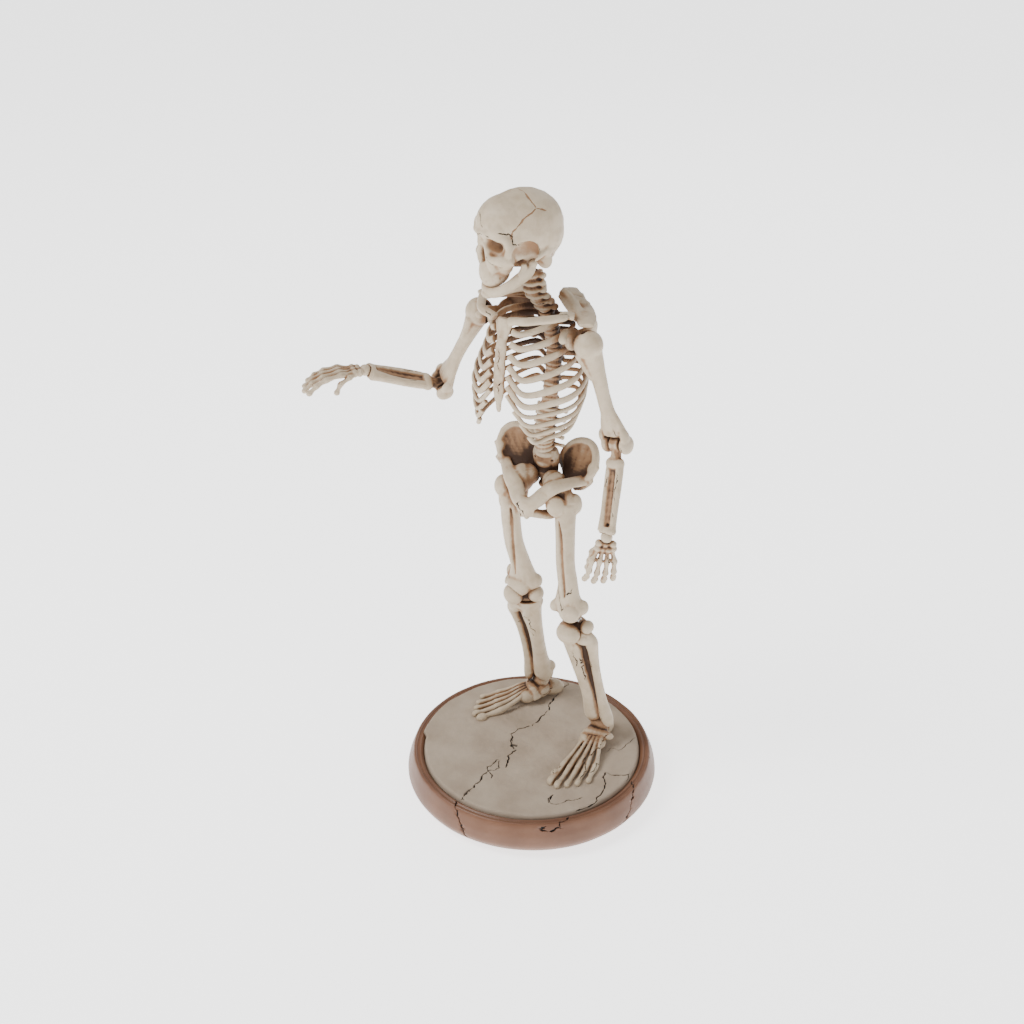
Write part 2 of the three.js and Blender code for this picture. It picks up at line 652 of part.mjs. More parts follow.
const neckPin = joined([
  ball([0, 0, 0], PIN_BALL, 8),
  turned([[-4 - NECK_PIN_DEPTH, PIN_RADIUS], [0, PIN_RADIUS]], { sides: 8 }),
]);
const neckPinMesh = named('neck_pin', neckPin, steel);
neckPinMesh.position.copy(head.position);
figure.add(neckPinMesh);

const HINGE = [0, -5, 3]; // middle of the jaw's hinge, from the neck ball
const RAMUS_X = 11;

function skull() {
  const cranium = [SKULL_WIDTH / 2, SKULL_LENGTH / 2, SKULL_HEIGHT / 2];
  const pieces = [
    lump([0, -3.4, SKULL_HEIGHT / 2 - 1.2], cranium, [0, 0, 0], 12),
    lump([0, 0, 2.5], [7, 9, 5]),
    lump([0, -14.8, 14.2], [10.6, 7.8, 6.6]),
    lump([0, -16, 5.6], [7, 8, 8]),
    lump([0, -17.4, 0.6], [6.4, 7.2, 5]),
  ];
  const hollows = [
    ball([0, 0, 0], PIN_BALL + FIT, 8),
    turned([[-8, PIN_BALL + FIT], [0, PIN_BALL + FIT]]),
    lump([0, -23.8, 8.4], [2.2, 4, 3.8]),
    rod(HINGE, 2.1, 40, 10),
  ];
  for (const { side } of SIDES) {
    pieces.push(lump([side * 9.4, -15.4, 7.6], [3, 3.4, 3.2], [0, 0, 0], 6));
    const cheekbone = [[10.6, -15.4, 7], [14.4, -9.6, 6.4], [14.4, -3.4, 6.4], [11, 0.6, 7]];
    pieces.push(bar(cheekbone.map(([x, y, z]) => [side * x, y, z]), 2.6, 1.8, { steps: 5 }));
    pieces.push(lump([side * 8.6, 2.6, 1.4], [2.6, 3.4, 5], [0, 0, 0], 6));
    hollows.push(lump([side * 7, -21, 13.6], [4.1, 5.4, 4.1], [0, side * 14, 0]));
    hollows.push(lump([side * 14.6, -10.6, 11], [3.4, 5, 4.2], [0, 0, 0], 8));
    hollows.push(lump([side * 11.6, -5.6, -1.5], [3.2, 6, 6.2], [0, 0, 0], 8)); // room for the ramus
  }
  return cut(joined(pieces), hollows);
}

function mandible() {
  const pieces = [bar([
    [-RAMUS_X + 0.8, -5.4, -5.2],
    [-8, -10.8, -8.4],
    [-4.4, -15, -10.4],
    [0, -16.4, -11],
    [4.4, -15, -10.4],
    [8, -10.8, -8.4],
    [RAMUS_X - 0.8, -5.4, -5.2],
  ], 4.6, 3, { steps: 10, up: point(0, -0.3, 1) })];
  for (const { side } of SIDES) {
    pieces.push(bar([
      [side * RAMUS_X, 0, 0],
      [side * RAMUS_X, -2.4, -2.8],
      [side * (RAMUS_X - 0.8), -5.6, -5.6],
    ], 4.4, 2.2, { steps: 3, up: point(0, -1, 0) }));
    pieces.push(rod([side * RAMUS_X, 0, 0], 1.8, 2.6, 8));
  }
  return joined(pieces);
}

head.add(named('skull', skull(), bone));
const jaw = new THREE.Group();
jaw.position.set(...HINGE);
jaw.add(named('mandible', mandible(), bone));
head.add(jaw);

// ---- Arms: shoulder pin, humerus, elbow pin, forearm, wrist ball and hand on each side ----

// Humerus about the shoulder's centre. The socket's slot opens towards the body, at `pinTurn` about Z.
function humerus(pinTurn) {
  const elbow = -HUMERUS_LENGTH;
  const cheek = (ELBOW_WIDTH - ELBOW_TONGUE - 2 * FIT) / 2;
  const cheekX = (ELBOW_TONGUE + cheek) / 2 + FIT;
  const slotReach = SHOULDER_BALL + 2;
  const lip = PIN_RADIUS + 2 * FIT;
  const slotCentre = [(slotReach - lip) / 2, 0, (slotReach - PIN_BALL) / 2];
  const slot = block(slotCentre, [slotReach + lip, 2 * lip, slotReach + PIN_BALL])
    .rotate([0, 0, pinTurn]);
  return cut(joined([
    ball([0, 0, 0], SHOULDER_BALL),
    turned([
      [elbow + 8, 3.6],
      [elbow + 16, 2.8],
      [-22, 3],
      [-12, 3.7],
      [-3, 5],
    ]),
    lump([0, 0, elbow + 6.6], [ELBOW_WIDTH / 2 - 1, 3.2, 5]),
    lump([cheekX, 0, elbow], [cheek / 2 + 0.6, 4, 4.4], [0, 0, 0], 8),
    lump([-cheekX, 0, elbow], [cheek / 2 + 0.6, 4, 4.4], [0, 0, 0], 8),
  ]), [
    ball([0, 0, 0], PIN_BALL + FIT, 8),
    slot,
    block([0, 0, elbow - 1.5], [ELBOW_TONGUE + 2 * FIT, 20, 11.4]),
    rod([0, 0, elbow], PIN_RADIUS + FIT, ELBOW_PIN + 2 * FIT),
  ]);
}

// Forearm about the elbow pin: a tongue, then radius and ulna side by side.
function forearm(side) {
  const wrist = -FOREARM_LENGTH;
  return cut(joined([
    rod([0, 0, 0], 3.6, ELBOW_TONGUE),
    block([0, 0, -4], [ELBOW_TONGUE, 4.6, 7]),
    lump([0, 0, -8], [4.4, 3, 3.4], [0, 0, 0], 8),
    bar([[-side * 1.4, 0, -6], [-side * 2.6, 0.4, wrist / 2], [-side * 1.6, 0, wrist + 3]], 3.6, 3.2,
      { steps: 5, up: point(0, 1, 0) }),
    bar([[side * 2, 0, -7], [side * 3, -0.2, wrist / 2], [side * 1.6, 0, wrist + 3]], 3.4, 2.8,
      { steps: 5, up: point(0, 1, 0) }),
    lump([0, 0, wrist + 3.4], [4.2, 2.8, 3.4], [0, 0, 0], 8),
  ]), [
    rod([0, 0, 0], PIN_RADIUS + FIT, ELBOW_TONGUE + 2),
    ball([0, 0, wrist], WRIST_BALL + FIT, 12),
  ]);
}

// Hand about the wrist ball: carpals, then four fingers and a thumb that bend towards `palm`.
function hand({ palm, bend, thumbBend }) {
  const knuckles = -HAND_LENGTH * 0.4;
  const reach = [0.95, 1, 0.94, 0.82];
  const pieces = [
    lump([0, 0, -WRIST_BALL - 1.6], [4, 2.4, 2.8], [0, 0, 0], 8),
    block([0, 0, knuckles / 2 - 2.4], [6.6, 2.2, 6.4]),
  ];
  const finger = (start, first, lengths, turn, spread) => {
    const places = [start, first];
    let angle = 0;
    for (const length of lengths) {
      angle += turn;
      const [x, y, z] = places.at(-1);
      places.push([x + spread * length, y + palm * Math.sin(angle) * length, z - Math.cos(angle) * length]);
    }
    return places;
  };
  reach.forEach((share, i) => {
    const across = i - 1.5;
    const bones = [0.26, 0.18, 0.16].map((part) => part * share * HAND_LENGTH);
    const first = [across * 2.9, 0, knuckles];
    const places = finger([across * 2, 0, -4], first, bones, radians(bend), across * 0.05);
    pieces.push(bar(places, 2.1, 2.1, { steps: 5, sides: 5, up: point(0.2, palm, 0.1) }));
  });
  const thumb = finger([-3, 0, -3.4], [-5.6, palm, -8], [5, 4], radians(thumbBend), -0.1);
  pieces.push(bar(thumb, 2.4, 2.4, { steps: 4, sides: 5, up: point(0.2, palm, 0.1) }));
  return joined(pieces).subtract(ball([0, 0, 0], WRIST_BALL + FIT, 12));
}

for (const { side, name } of SIDES) {
  const { upperArm, forearmAim, handAim, handAcross, palm, bend, thumbBend } = ARMS[name];
  const aim = (direction, length) => point(...direction).setLength(length);
  const shoulder = point(BODY_X + side * shoulderX, SHOULDER_Y, SHOULDER_HEIGHT);
  const elbow = shoulder.clone().add(aim(upperArm, HUMERUS_LENGTH));
  const wrist = elbow.clone().add(aim(forearmAim, FOREARM_LENGTH));
  const fingers = wrist.clone().add(aim(handAim, HAND_LENGTH));
  const hinge = point(...forearmAim).cross(point(...upperArm)).normalize();

  const pin = joined([
    ball([0, 0, 0], PIN_BALL, 8),
    rod([-side * SHOULDER_PIN / 2, 0, 0], PIN_RADIUS, SHOULDER_PIN, 8),
  ]);
  const pinMesh = named(`${name}_shoulder_pin`, pin, steel);
  pinMesh.position.copy(shoulder);
  figure.add(pinMesh);

  const upper = jointFrame(shoulder, elbow, hinge);
  const inward = point(-side, 0, 0).applyQuaternion(upper.quaternion.clone().invert());
  const pinTurn = THREE.MathUtils.radToDeg(Math.atan2(inward.y, inward.x));
  upper.add(named(`${name}_humerus`, humerus(pinTurn), bone));
  const elbowPin = named(`${name}_elbow_pin`, rod([0, 0, 0], PIN_RADIUS, ELBOW_PIN, 8), steel);
  elbowPin.position.z = -HUMERUS_LENGTH;
  upper.add(elbowPin);

  const lower = jointFrame(elbow, wrist, hinge);
  lower.add(named(`${name}_forearm`, forearm(side), bone));
  const wristBall = named(`${name}_wrist_ball`, ball([0, 0, 0], WRIST_BALL, 10), bone);
  wristBall.position.z = -FOREARM_LENGTH;
  lower.add(wristBall);

  const palmFrame = jointFrame(wrist, fingers, point(...handAcross));
  palmFrame.add(named(`${name}_hand`, hand({ palm, bend, thumbBend }), bone));
}

export default figure;
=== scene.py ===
import json
import random
from math import atan2, cos, pi, radians, sin

import bmesh
import bpy
import numpy as np
from mathutils import Euler, Matrix, Vector, noise
from mathutils.bvhtree import BVHTree
from mathutils.kdtree import KDTree


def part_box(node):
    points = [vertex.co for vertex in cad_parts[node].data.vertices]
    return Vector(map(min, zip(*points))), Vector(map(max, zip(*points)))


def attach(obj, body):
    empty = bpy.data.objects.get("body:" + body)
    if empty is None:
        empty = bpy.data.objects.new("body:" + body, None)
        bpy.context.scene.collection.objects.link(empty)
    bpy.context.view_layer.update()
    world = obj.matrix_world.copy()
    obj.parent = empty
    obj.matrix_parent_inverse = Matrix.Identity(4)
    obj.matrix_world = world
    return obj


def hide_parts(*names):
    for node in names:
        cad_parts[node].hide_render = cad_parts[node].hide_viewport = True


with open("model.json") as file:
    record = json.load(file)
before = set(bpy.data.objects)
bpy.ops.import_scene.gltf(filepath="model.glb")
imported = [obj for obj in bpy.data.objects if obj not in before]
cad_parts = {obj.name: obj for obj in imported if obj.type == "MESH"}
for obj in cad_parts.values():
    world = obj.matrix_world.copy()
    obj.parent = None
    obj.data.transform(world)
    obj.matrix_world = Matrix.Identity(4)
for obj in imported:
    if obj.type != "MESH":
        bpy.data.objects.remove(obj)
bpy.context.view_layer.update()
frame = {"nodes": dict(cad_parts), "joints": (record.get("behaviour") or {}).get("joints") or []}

# ---- Studio ----
# A plain pale floor, a large soft lamp in front on the figure's left, two weaker ones that
# open the shadows, and a camera that looks down on the figure from in front on its left.

studio = bpy.context.scene.collection

floor_bm = bmesh.new()
bmesh.ops.create_grid(floor_bm, x_segments=4, y_segments=4, size=6)
floor_mesh = bpy.data.meshes.new("floor")
floor_bm.to_mesh(floor_mesh)
floor_bm.free()
floor = bpy.data.objects.new("floor", floor_mesh)
studio.objects.link(floor)
paper = bpy.data.materials.new("white_paper")
paper.use_nodes = True
sheet = paper.node_tree.nodes["Principled BSDF"]
sheet.inputs["Base Color"].default_value = (0.9, 0.9, 0.9, 1)
sheet.inputs["Roughness"].default_value = 0.9
sheet.inputs["Emission Color"].default_value = (1, 1, 1, 1)
sheet.inputs["Emission Strength"].default_value = 2.2
floor_mesh.materials.append(paper)

for name, place, size, power in (
    ("key", (-0.5, -0.75, 1.25), 0.7, 17),
    ("fill", (1.1, -0.6, 0.7), 1.2, 3),
    ("back", (-0.2, 1.0, 0.9), 1.0, 4),
):
    lamp = bpy.data.lights.new(name, "AREA")
    lamp.shape = "DISK"
    lamp.size = size
    lamp.energy = power
    stand = bpy.data.objects.new(name, lamp)
    stand.location = place
    stand.rotation_euler = (Vector((0, 0, 0.14)) - Vector(place)).to_track_quat("-Z", "Y").to_euler()
    studio.objects.link(stand)

room = bpy.data.worlds.new("room")
room.use_nodes = True
room.node_tree.nodes["Background"].inputs["Color"].default_value = (1, 1, 1, 1)
room.node_tree.nodes["Background"].inputs["Strength"].default_value = 0.45
bpy.context.scene.world = room

lens = bpy.data.cameras.new("camera")
lens.lens = 49.46
lens.sensor_width = 36
camera = bpy.data.objects.new("camera", lens)
camera.location = (0.340, -0.420, 0.451)
camera.rotation_euler = (radians(60.7), 0, radians(40))
studio.objects.link(camera)
bpy.context.scene.camera = camera

# ---- Felt pad ----
# A disc of dark wool felt, 1.5 mm thick, glued into the recess under the plinth so that the
# figure doesn't scratch a shelf. Its cut edge is slightly fuzzy.

MM = 0.001


def shade(name, roughness, colours, bump=0.0, grain_size=300.0, detail=4.0):
    """A material of two colours mottled by the grain group, with its bump."""
    material = bpy.data.materials.new(name)
    material.use_nodes = True
    tree = material.node_tree
    body = tree.nodes["Principled BSDF"]
    body.inputs["Roughness"].default_value = roughness
    mottle = tree.nodes.new("ShaderNodeGroup")
    mottle.node_tree = grain
    mottle.inputs["Size"].default_value = grain_size
    mottle.inputs["Detail"].default_value = detail
    mix = tree.nodes.new("ShaderNodeMix")
    mix.data_type = "RGBA"
    mix.inputs["A"].default_value = (*colours[0], 1)
    mix.inputs["B"].default_value = (*colours[1], 1)
    tree.links.new(mottle.outputs["Mottle"], mix.inputs["Factor"])
    tree.links.new(mix.outputs["Result"], body.inputs["Base Color"])
    relief = tree.nodes.new("ShaderNodeBump")
    relief.inputs["Strength"].default_value = 1.0
    relief.inputs["Distance"].default_value = bump
    tree.links.new(mottle.outputs["Relief"], relief.inputs["Height"])
    tree.links.new(relief.outputs["Normal"], body.inputs["Normal"])
    return material


def new_group(name, inputs, outputs):
    """An empty shader node group with its sockets, and its two end nodes."""
    group = bpy.data.node_groups.new(name, "ShaderNodeTree")
    for socket, kind, value in inputs:
        made = group.interface.new_socket(socket, in_out="INPUT", socket_type=kind)
        if value is not None:
            made.default_value = value
    for socket, kind in outputs:
        group.interface.new_socket(socket, in_out="OUTPUT", socket_type=kind)
    return group, group.nodes.new("NodeGroupInput"), group.nodes.new("NodeGroupOutput")


def node(tree, kind, links=(), **values):
    """A node with its properties set, and its inputs either linked or given a value."""
    made = tree.nodes.new(kind)
    for key, value in values.items():
        setattr(made, key, value)
    for socket, source in dict(links).items():
        if isinstance(source, bpy.types.NodeSocket):
            tree.links.new(source, made.inputs[socket])
        else:
            made.inputs[socket].default_value = source
    return made


# Grain: a broad mottle and a fine relief over Object coordinates.
grain, grain_in, grain_out = new_group(
    "grain",
    [("Size", "NodeSocketFloat", 300.0), ("Detail", "NodeSocketFloat", 4.0)],
    [("Mottle", "NodeSocketFloat"), ("Relief", "NodeSocketFloat")],
)
where = node(grain, "ShaderNodeTexCoord").outputs["Object"]
broad = node(grain, "ShaderNodeTexNoise", {
    "Vector": where, "Scale": grain_in.outputs["Size"], "Detail": grain_in.outputs["Detail"],
})
spread = node(grain, "ShaderNodeMapRange", {
    "Value": broad.outputs["Fac"], "From Min": 0.32, "From Max": 0.68,
})
finer = node(grain, "ShaderNodeMath", {0: grain_in.outputs["Size"], 1: 6.0}, operation="MULTIPLY")
pores = node(grain, "ShaderNodeTexNoise", {
    "Vector": where, "Scale": finer.outputs[0], "Detail": 3.0,
})
grain.links.new(spread.outputs["Result"], grain_out.inputs["Mottle"])
grain.links.new(pores.outputs["Fac"], grain_out.inputs["Relief"])


def piece(name, mesh, material, body, nodes):
    """Shows a finished mesh, whose place is in its vertices, instead of its CAD nodes."""
    mesh.name = name
    mesh.materials.clear()
    mesh.materials.append(material)
    mesh.shade_smooth()
    shown = bpy.data.objects.new(name, mesh)
    studio.objects.link(shown)
    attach(shown, body)
    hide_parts(*nodes)
    return shown


def turned(rows, steps=160):
    """A turned solid about the base's axis, from rows of (radius, height) in mm."""
    bm = bmesh.new()
    outline = [bm.verts.new((radius * MM, 0, height * MM)) for radius, height in rows]
    for a, b in zip(outline, outline[1:]):
        bm.edges.new((a, b))
    bmesh.ops.spin(
        bm, geom=bm.verts[:] + bm.edges[:], cent=(0, 0, 0), axis=(0, 0, 1),
        angle=2 * pi, steps=steps, use_merge=True, use_duplicate=False,
    )
    bmesh.ops.remove_doubles(bm, verts=bm.verts, dist=0.004 * MM)
    bmesh.ops.recalc_face_normals(bm, faces=bm.faces)
    return bm


def as_mesh(bm):
    mesh = bpy.data.meshes.new("part")
    bm.to_mesh(mesh)
    bm.free()
    return mesh


felt_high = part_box("felt_pad")[1]
felt_radius = felt_high.x / MM
felt_top = felt_high.z / MM
felt_bm = turned([
    (0, 0), (felt_radius - 0.4, 0), (felt_radius, 0.4), (felt_radius, felt_top - 0.3),
    (felt_radius - 0.3, felt_top), (0, felt_top),
])
wool = shade("wool_felt", 0.95, ((0.018, 0.015, 0.013), (0.05, 0.043, 0.037)), 0.0004, 900)
piece("felt_pad_piece", as_mesh(felt_bm), wool, "stand", ["felt_pad"])

# ---- Plinth ----
# A cast and hand-finished terracotta plinth. The wall swells out to its widest a third of the
# way up, and the rim has a rolled shoulder, a shallow groove and a small bead round the earth.
# The crack of the earth runs over the rim and down the wall in three places.


def smooth_rows(stations, steps):
    """Rows of numbers eased through the given rows (Catmull-Rom)."""
    rows = np.array(stations, float)
    ends = np.vstack([2 * rows[0] - rows[1], rows, 2 * rows[-1] - rows[-2]])
    eased = []
    for a, b, c, d in zip(ends, ends[1:], ends[2:], ends[3:]):
        for t in np.arange(steps) / steps:
            eased.append(
                (2 * b + (c - a) * t + (2 * a - 5 * b + 4 * c - d) * t**2
                 + (3 * b - a - 3 * c + d) * t**3) / 2
            )
    return np.array(eased + [rows[-1]])


def jagged(waypoints, reach, seed):
    """A crack's line in mm: the waypoints, broken up by smaller and smaller kicks."""
    draw = random.Random(seed)
    line = [Vector(p) for p in waypoints]
    while max((b - a).length for a, b in zip(line, line[1:])) > 0.9:
        broken = [line[0]]
        for a, b in zip(line, line[1:]):
            gap = (b - a).length
            if gap > 0.7:
                kick = Vector([draw.uniform(-1, 1) for _ in range(3)]) * reach * gap
                broken.append((a + b) / 2 + kick)
            broken.append(b)
        line = broken
    return line


def crack_rows(ways, seed):
    """Points along cracks every 0.06 mm, each with its half width, which comes and goes."""
    draw = random.Random(seed)
    points, widths = [], []
    for line, half_width in ways:
        shift = Vector([draw.uniform(0, 50) for _ in range(3)])
        total = sum((b - a).length for a, b in zip(line, line[1:]))
        run = 0.0
        for a, b in zip(line, line[1:]):
            span = (b - a).length
            count = max(1, int(span / 0.06))
            for k in range(count):
                at = a.lerp(b, k / count)
                swell = 0.72 + 0.85 * noise.noise(at * 0.45 + shift) + 0.5 * noise.noise(at * 1.7 + shift)
                taper = max(0.15, min(1.0, (run + span * 0.5) / 1.2, (total - run) / 1.2))
                points.append(at * MM)
                widths.append(half_width * max(0.0, swell) * taper * MM)
            run += span
    return points, widths


def carve_cracks(mesh, ways, depth, seed=1, reach=0.9, cuts=(2, 1)):
    """Cracks in a finished mesh: finer faces along each line, then a groove. `ways` are lines
    of points in mm, each with its half width."""
    bm = bmesh.new()
    bm.from_mesh(mesh)
    layer = bm.verts.layers.float.get("crack") or bm.verts.layers.float.new("crack")
    skin = BVHTree.FromBMesh(bm)
    ways = [([skin.find_nearest(p * MM)[0] / MM for p in line], half) for line, half in ways]
    points, widths = crack_rows(ways, seed)
    points = [skin.find_nearest(p)[0] for p in points]
    near = KDTree(len(points))
    for i, point in enumerate(points):
        near.insert(point, i)
    near.balance()
    span = reach * MM
    for cut in cuts:
        close = {v for v in bm.verts if near.find(v.co)[2] < span}
        edges = {e for v in close for e in v.link_edges if e.other_vert(v) in close}
        bmesh.ops.subdivide_edges(bm, edges=list(edges), cuts=cut, use_grid_fill=True)
        span *= 0.6
    bm.normal_update()
    sunk = []
    for v in bm.verts:
        _, i, gap = near.find(v.co)
        groove = widths[i] * 1.6
        if groove > gap:
            share = 1 - gap / groove
            sunk.append((v, v.normal * depth * MM * min(1.0, share * 2.2)
                * min(1.0, widths[i] / (0.16 * MM))))
            v[layer] = max(v[layer], min(1.0, share * 2.6))
    for v, step in sunk:
        v.co -= step
    bm.to_mesh(mesh)
    bm.free()
    return mesh


plinth_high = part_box("base_plinth")[1]
plinth_radius = plinth_high.x / MM
rim_top = plinth_high.z / MM
ground_low, ground_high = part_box("ground_plate")
ground_radius = ground_high.x / MM
ground_top = ground_high.z / MM
ground_under = ground_low.z / MM

wall = smooth_rows([
    (felt_radius + 3.5, 0.35), (felt_radius + 7.2, 1.4), (plinth_radius - 2.0, 3.9),
    (plinth_radius, 7.4), (plinth_radius - 0.4, 11.2), (plinth_radius - 1.6, 14.8),
    (plinth_radius - 2.6, rim_top - 1.2), (plinth_radius - 3.4, rim_top - 0.2),
    (plinth_radius - 4.4, rim_top - 0.35), (plinth_radius - 5.0, rim_top - 0.8),
    (plinth_radius - 5.7, rim_top - 0.3), (plinth_radius - 6.3, rim_top - 0.35),
    (ground_radius + 0.35, rim_top - 1.6),
], 6)
plinth_bm = turned([
    (0, felt_top + 0.1), (felt_radius + 0.3, felt_top + 0.1), (felt_radius + 0.3, 0.3),
    *[tuple(row) for row in wall],
    (ground_radius + 0.35, ground_under - 0.1), (0, ground_under - 0.1),
], 240)
bmesh.ops.subdivide_edges(
    plinth_bm,
    edges=[e for e in plinth_bm.edges if e.calc_length() > 1.8
        * MM and min(v.co.xy.length for v in e.verts) > 50 * MM],
    cuts=1, use_grid_fill=True,
)
for v in plinth_bm.verts:
    if v.co.xy.length > (ground_radius + 0.6) * MM and v.co.z > 1 * MM:
        sway = noise.noise(v.co / (9 * MM)) * 0.12 + noise.noise(v.co / (2.6 * MM)) * 0.03
        v.co += v.normal * sway * MM

WALL_CRACKS = [
    [(-0.6, -52.4, 18.3), (0.4, -55.2, 18.4), (3.4, -57.4, 16.4), (5.4, -58.4, 13), (8.2, -59.2, 9),
    (9.4, -58.6, 6), (12.2, -55.6, 2.6)],
    [(47.2, -24.0, 18.3), (45.8, -30.4, 18.2), (44.6, -34.6, 18), (46.2, -35.6, 16.2),
    (43.2, -39.4, 15.2), (40.4, -42.6, 16.2), (41.4, -40.2, 17.6)],
    [(52.6, 9.6, 18.2), (55.6, 6.8, 18.0), (58.0, 3.4, 15), (59.4, -0.6, 11), (59.2, -3.4, 8),
    (59.2, -7, 5), (55.2, -11, 1.6)],
    [(13.4, 55.2, 18.3), (17.2, 55.0, 18.2)],
    [(48.6, 29.4, 18.2), (50.6, 30, 17.8)],
]
wall_lines = [(jagged(way, 0.17, 31 + i), 0.34) for i, way in enumerate(WALL_CRACKS)]
plinth_mesh = carve_cracks(as_mesh(plinth_bm), wall_lines, 0.9, 4, 1.6, (2, 2))


def with_cracks(material, depth_colour):
    """Darkens a material where the crack attribute says so."""
    tree = material.node_tree
    body = tree.nodes["Principled BSDF"]
    base = body.inputs["Base Color"].links[0].from_socket
    line = node(tree, "ShaderNodeAttribute", attribute_name="crack")
    dark = node(tree, "ShaderNodeMix", {"Factor": line.outputs["Fac"], "A": base,
        "B": (*depth_colour, 1)}, data_type="RGBA")
    tree.links.new(dark.outputs["Result"], body.inputs["Base Color"])


clay = shade("terracotta", 0.42, ((0.148, 0.064, 0.032), (0.195, 0.09, 0.048)), 0.00006, 70, 6)
clay.node_tree.nodes["Principled BSDF"].inputs["Specular IOR Level"].default_value = 0.45
with_cracks(clay, (0.008, 0.006, 0.005))
piece("plinth_piece", plinth_mesh, clay, "stand", ["base_plinth"])

# ---- Ground ----
# A disc of sandy plaster set in the plinth: a trodden, lumpy surface that spills over the bead
# at the back and on the figure's right, and a crack that runs from front to back between the feet.

SPILL_FROM, SPILL_TO, SPILL = radians(96), radians(213), 2.1


def ground_edge(angle):
    """The ground's radius in that direction, in mm."""
    angle %= 2 * pi
    inside = min(angle - SPILL_FROM, SPILL_TO - angle)
    spill = SPILL * max(0.0, min(1.0, inside / 0.06))
    wave = noise.noise(Vector((cos(angle) * 3, sin(angle) * 3, 7))) * 0.8
    return ground_radius - 0.2 + spill + wave * (1 if spill else 0.35)


LUMPS = [  # x, y, radius and height of the lumps and hollows, in mm
    (10.8, -6.8, 5, 0.7), (-10.1, -26.0, 6, 0.55), (4.5, -33.0, 5, 0.7), (2.5, 4.7, 4, 0.5),
    (-20.6, 16.1, 9, -0.35), (-6.5, 21.1, 4, 0.7), (8.4, 14.1, 4, 0.8), (11.4, 4.1, 4, 0.6),
    (17.4, -9.9, 6, 0.5), (-0.6, 34.1, 9, -0.9), (-28.6, -9.9, 14, 0.45), (21.4, -35.9, 9, 0.4),
    (-26.6, 28.1, 7, 0.6), (39.4, 6.1, 8, 0.3), (-32.6, -27.9, 9, 0.35), (31.4, 28.1, 10, 0.4),
    (-10.6, 42.1, 7, 0.5), (3.4, -13.9, 6, -0.35), (13.4, 25.1, 5, -0.5),
]

ground_bm = turned([
    (0, ground_under), (ground_radius, ground_under), (ground_radius, rim_top - 1.2),
    *[(ground_radius * share, ground_top) for share in np.linspace(1, 0, 116)],
], 300)
for v in ground_bm.verts:
    radius = v.co.xy.length / MM
    if v.co.z < (rim_top - 0.5) * MM or radius < 0.01:
        continue
    angle = atan2(v.co.y, v.co.x)
    share = radius / ground_radius
    spread = radius * (1 + (ground_edge(angle) / ground_radius - 1) * max(0, share * 8 - 7))
    x, y = spread * cos(angle), spread * sin(angle)
    flat = Vector((x, y, 0))
    height = 0.25
    for cx, cy, size, rise in LUMPS:
        height += rise * np.exp(-((x - cx) ** 2 + (y - cy) ** 2) / size**2)
    height += 0.5 * noise.fractal(flat / 13, 1.0, 2.1, 4) + 0.16 * noise.noise(flat / 2.4)
    height += 0.16 * abs(noise.noise(flat / 6 + Vector((9, 4, 2))))
    edge = max(0.0, 1 - (ground_edge(angle) - spread) / 1.1)
    height = height * (1 - edge) - 0.75 * edge**2.5
    v.co = Vector((x, y, ground_top + height)) * MM
ground_bm.normal_update()

GROUND_CRACKS = [  # waypoints in mm, and half width
    ([(-17.1, 52.1), (-18.3, 50.7), (-15.5, 49.2), (-15.4, 43.6), (-14.6, 37.7), (-13.2, 32.4),
      (-12.7, 29.1), (-9.8, 26.1), (-9.3, 22.0), (-8.4, 15.6), (-8.4, 10.3), (-11.6, 5.0),
      (-12.3, -0.8), (-9.2, -5.1), (-5.7, -7.3), (-2.4, -8.7), (-2.7, -14.7), (-0.2, -17.6),
      (2.1, -22.2)], 0.3),
    ([(-9.2, -3.5), (-7.2, -6.3), (-4.8, -6.1), (-6.0, -8.1), (-7.2, -6.3)], 0.62),
    ([(-3.3, -20.2), (-4.7, -20.5), (-4.4, -27.7), (-2.5, -29.3), (-0.3, -27.5), (-0.1, -24.0),
      (-3.3, -20.2)], 0.2),
    ([(2.8, -32.9), (1.5, -30.8), (-2.5, -29.3), (-2.2, -33.9), (-0.8, -36.7), (-0.1, -42.3),
      (-0.5, -46.6), (0.2, -49.1), (0.8, -54.9)], 0.3),
    ([(32.2, -28.3), (31.4, -22.9), (31.4, -26.0), (33.2, -28.3), (36.9, -26.7), (38.3, -24.0),
      (39.3, -20.9), (41.9, -17.9), (43.0, -15.5)], 0.19),
    ([(48.8, -26.3), (50.8, -22.5), (49.4, -20.0), (50.3, -16.2), (48.5, -8.5), (45.7, -1.5),
      (41.9, 1.6), (40.7, 5.3), (43.9, 5.6), (46.3, 7.7), (50.0, 11.5), (54.2, 7.7)], 0.27),
    ([(31.9, 18.4), (31.9, 21.8), (35.6, 22.3), (36.3, 29.7), (35.8, 36.1), (36.9, 38.7)], 0.1),
    ([(37.4, 0.1), (34.9, 2.6), (35.9, 5.1)], 0.16),
]
ground_lines = [
    (jagged([(x, y, ground_top + 0.3) for x, y in way], 0.13, 11 + i), half_width)
    for i, (way, half_width) in enumerate(GROUND_CRACKS)
]
ground_mesh = carve_cracks(as_mesh(ground_bm), ground_lines, 1.1, 21, 1.3, (2, 1))

sand = shade("sandy_plaster", 0.85, ((0.335, 0.26, 0.19), (0.445, 0.36, 0.275)), 0.00018, 60, 7)
with_cracks(sand, (0.006, 0.005, 0.004))
piece("ground_piece", ground_mesh, sand, "stand", ["ground_plate"])

# ---- Feet and ankle balls ----
# Cast resin feet in one piece each: heel, instep and five long bones that end in round toes,
# sunk a little in the earth. The ankle ball is a separate casting glued between foot and shin.


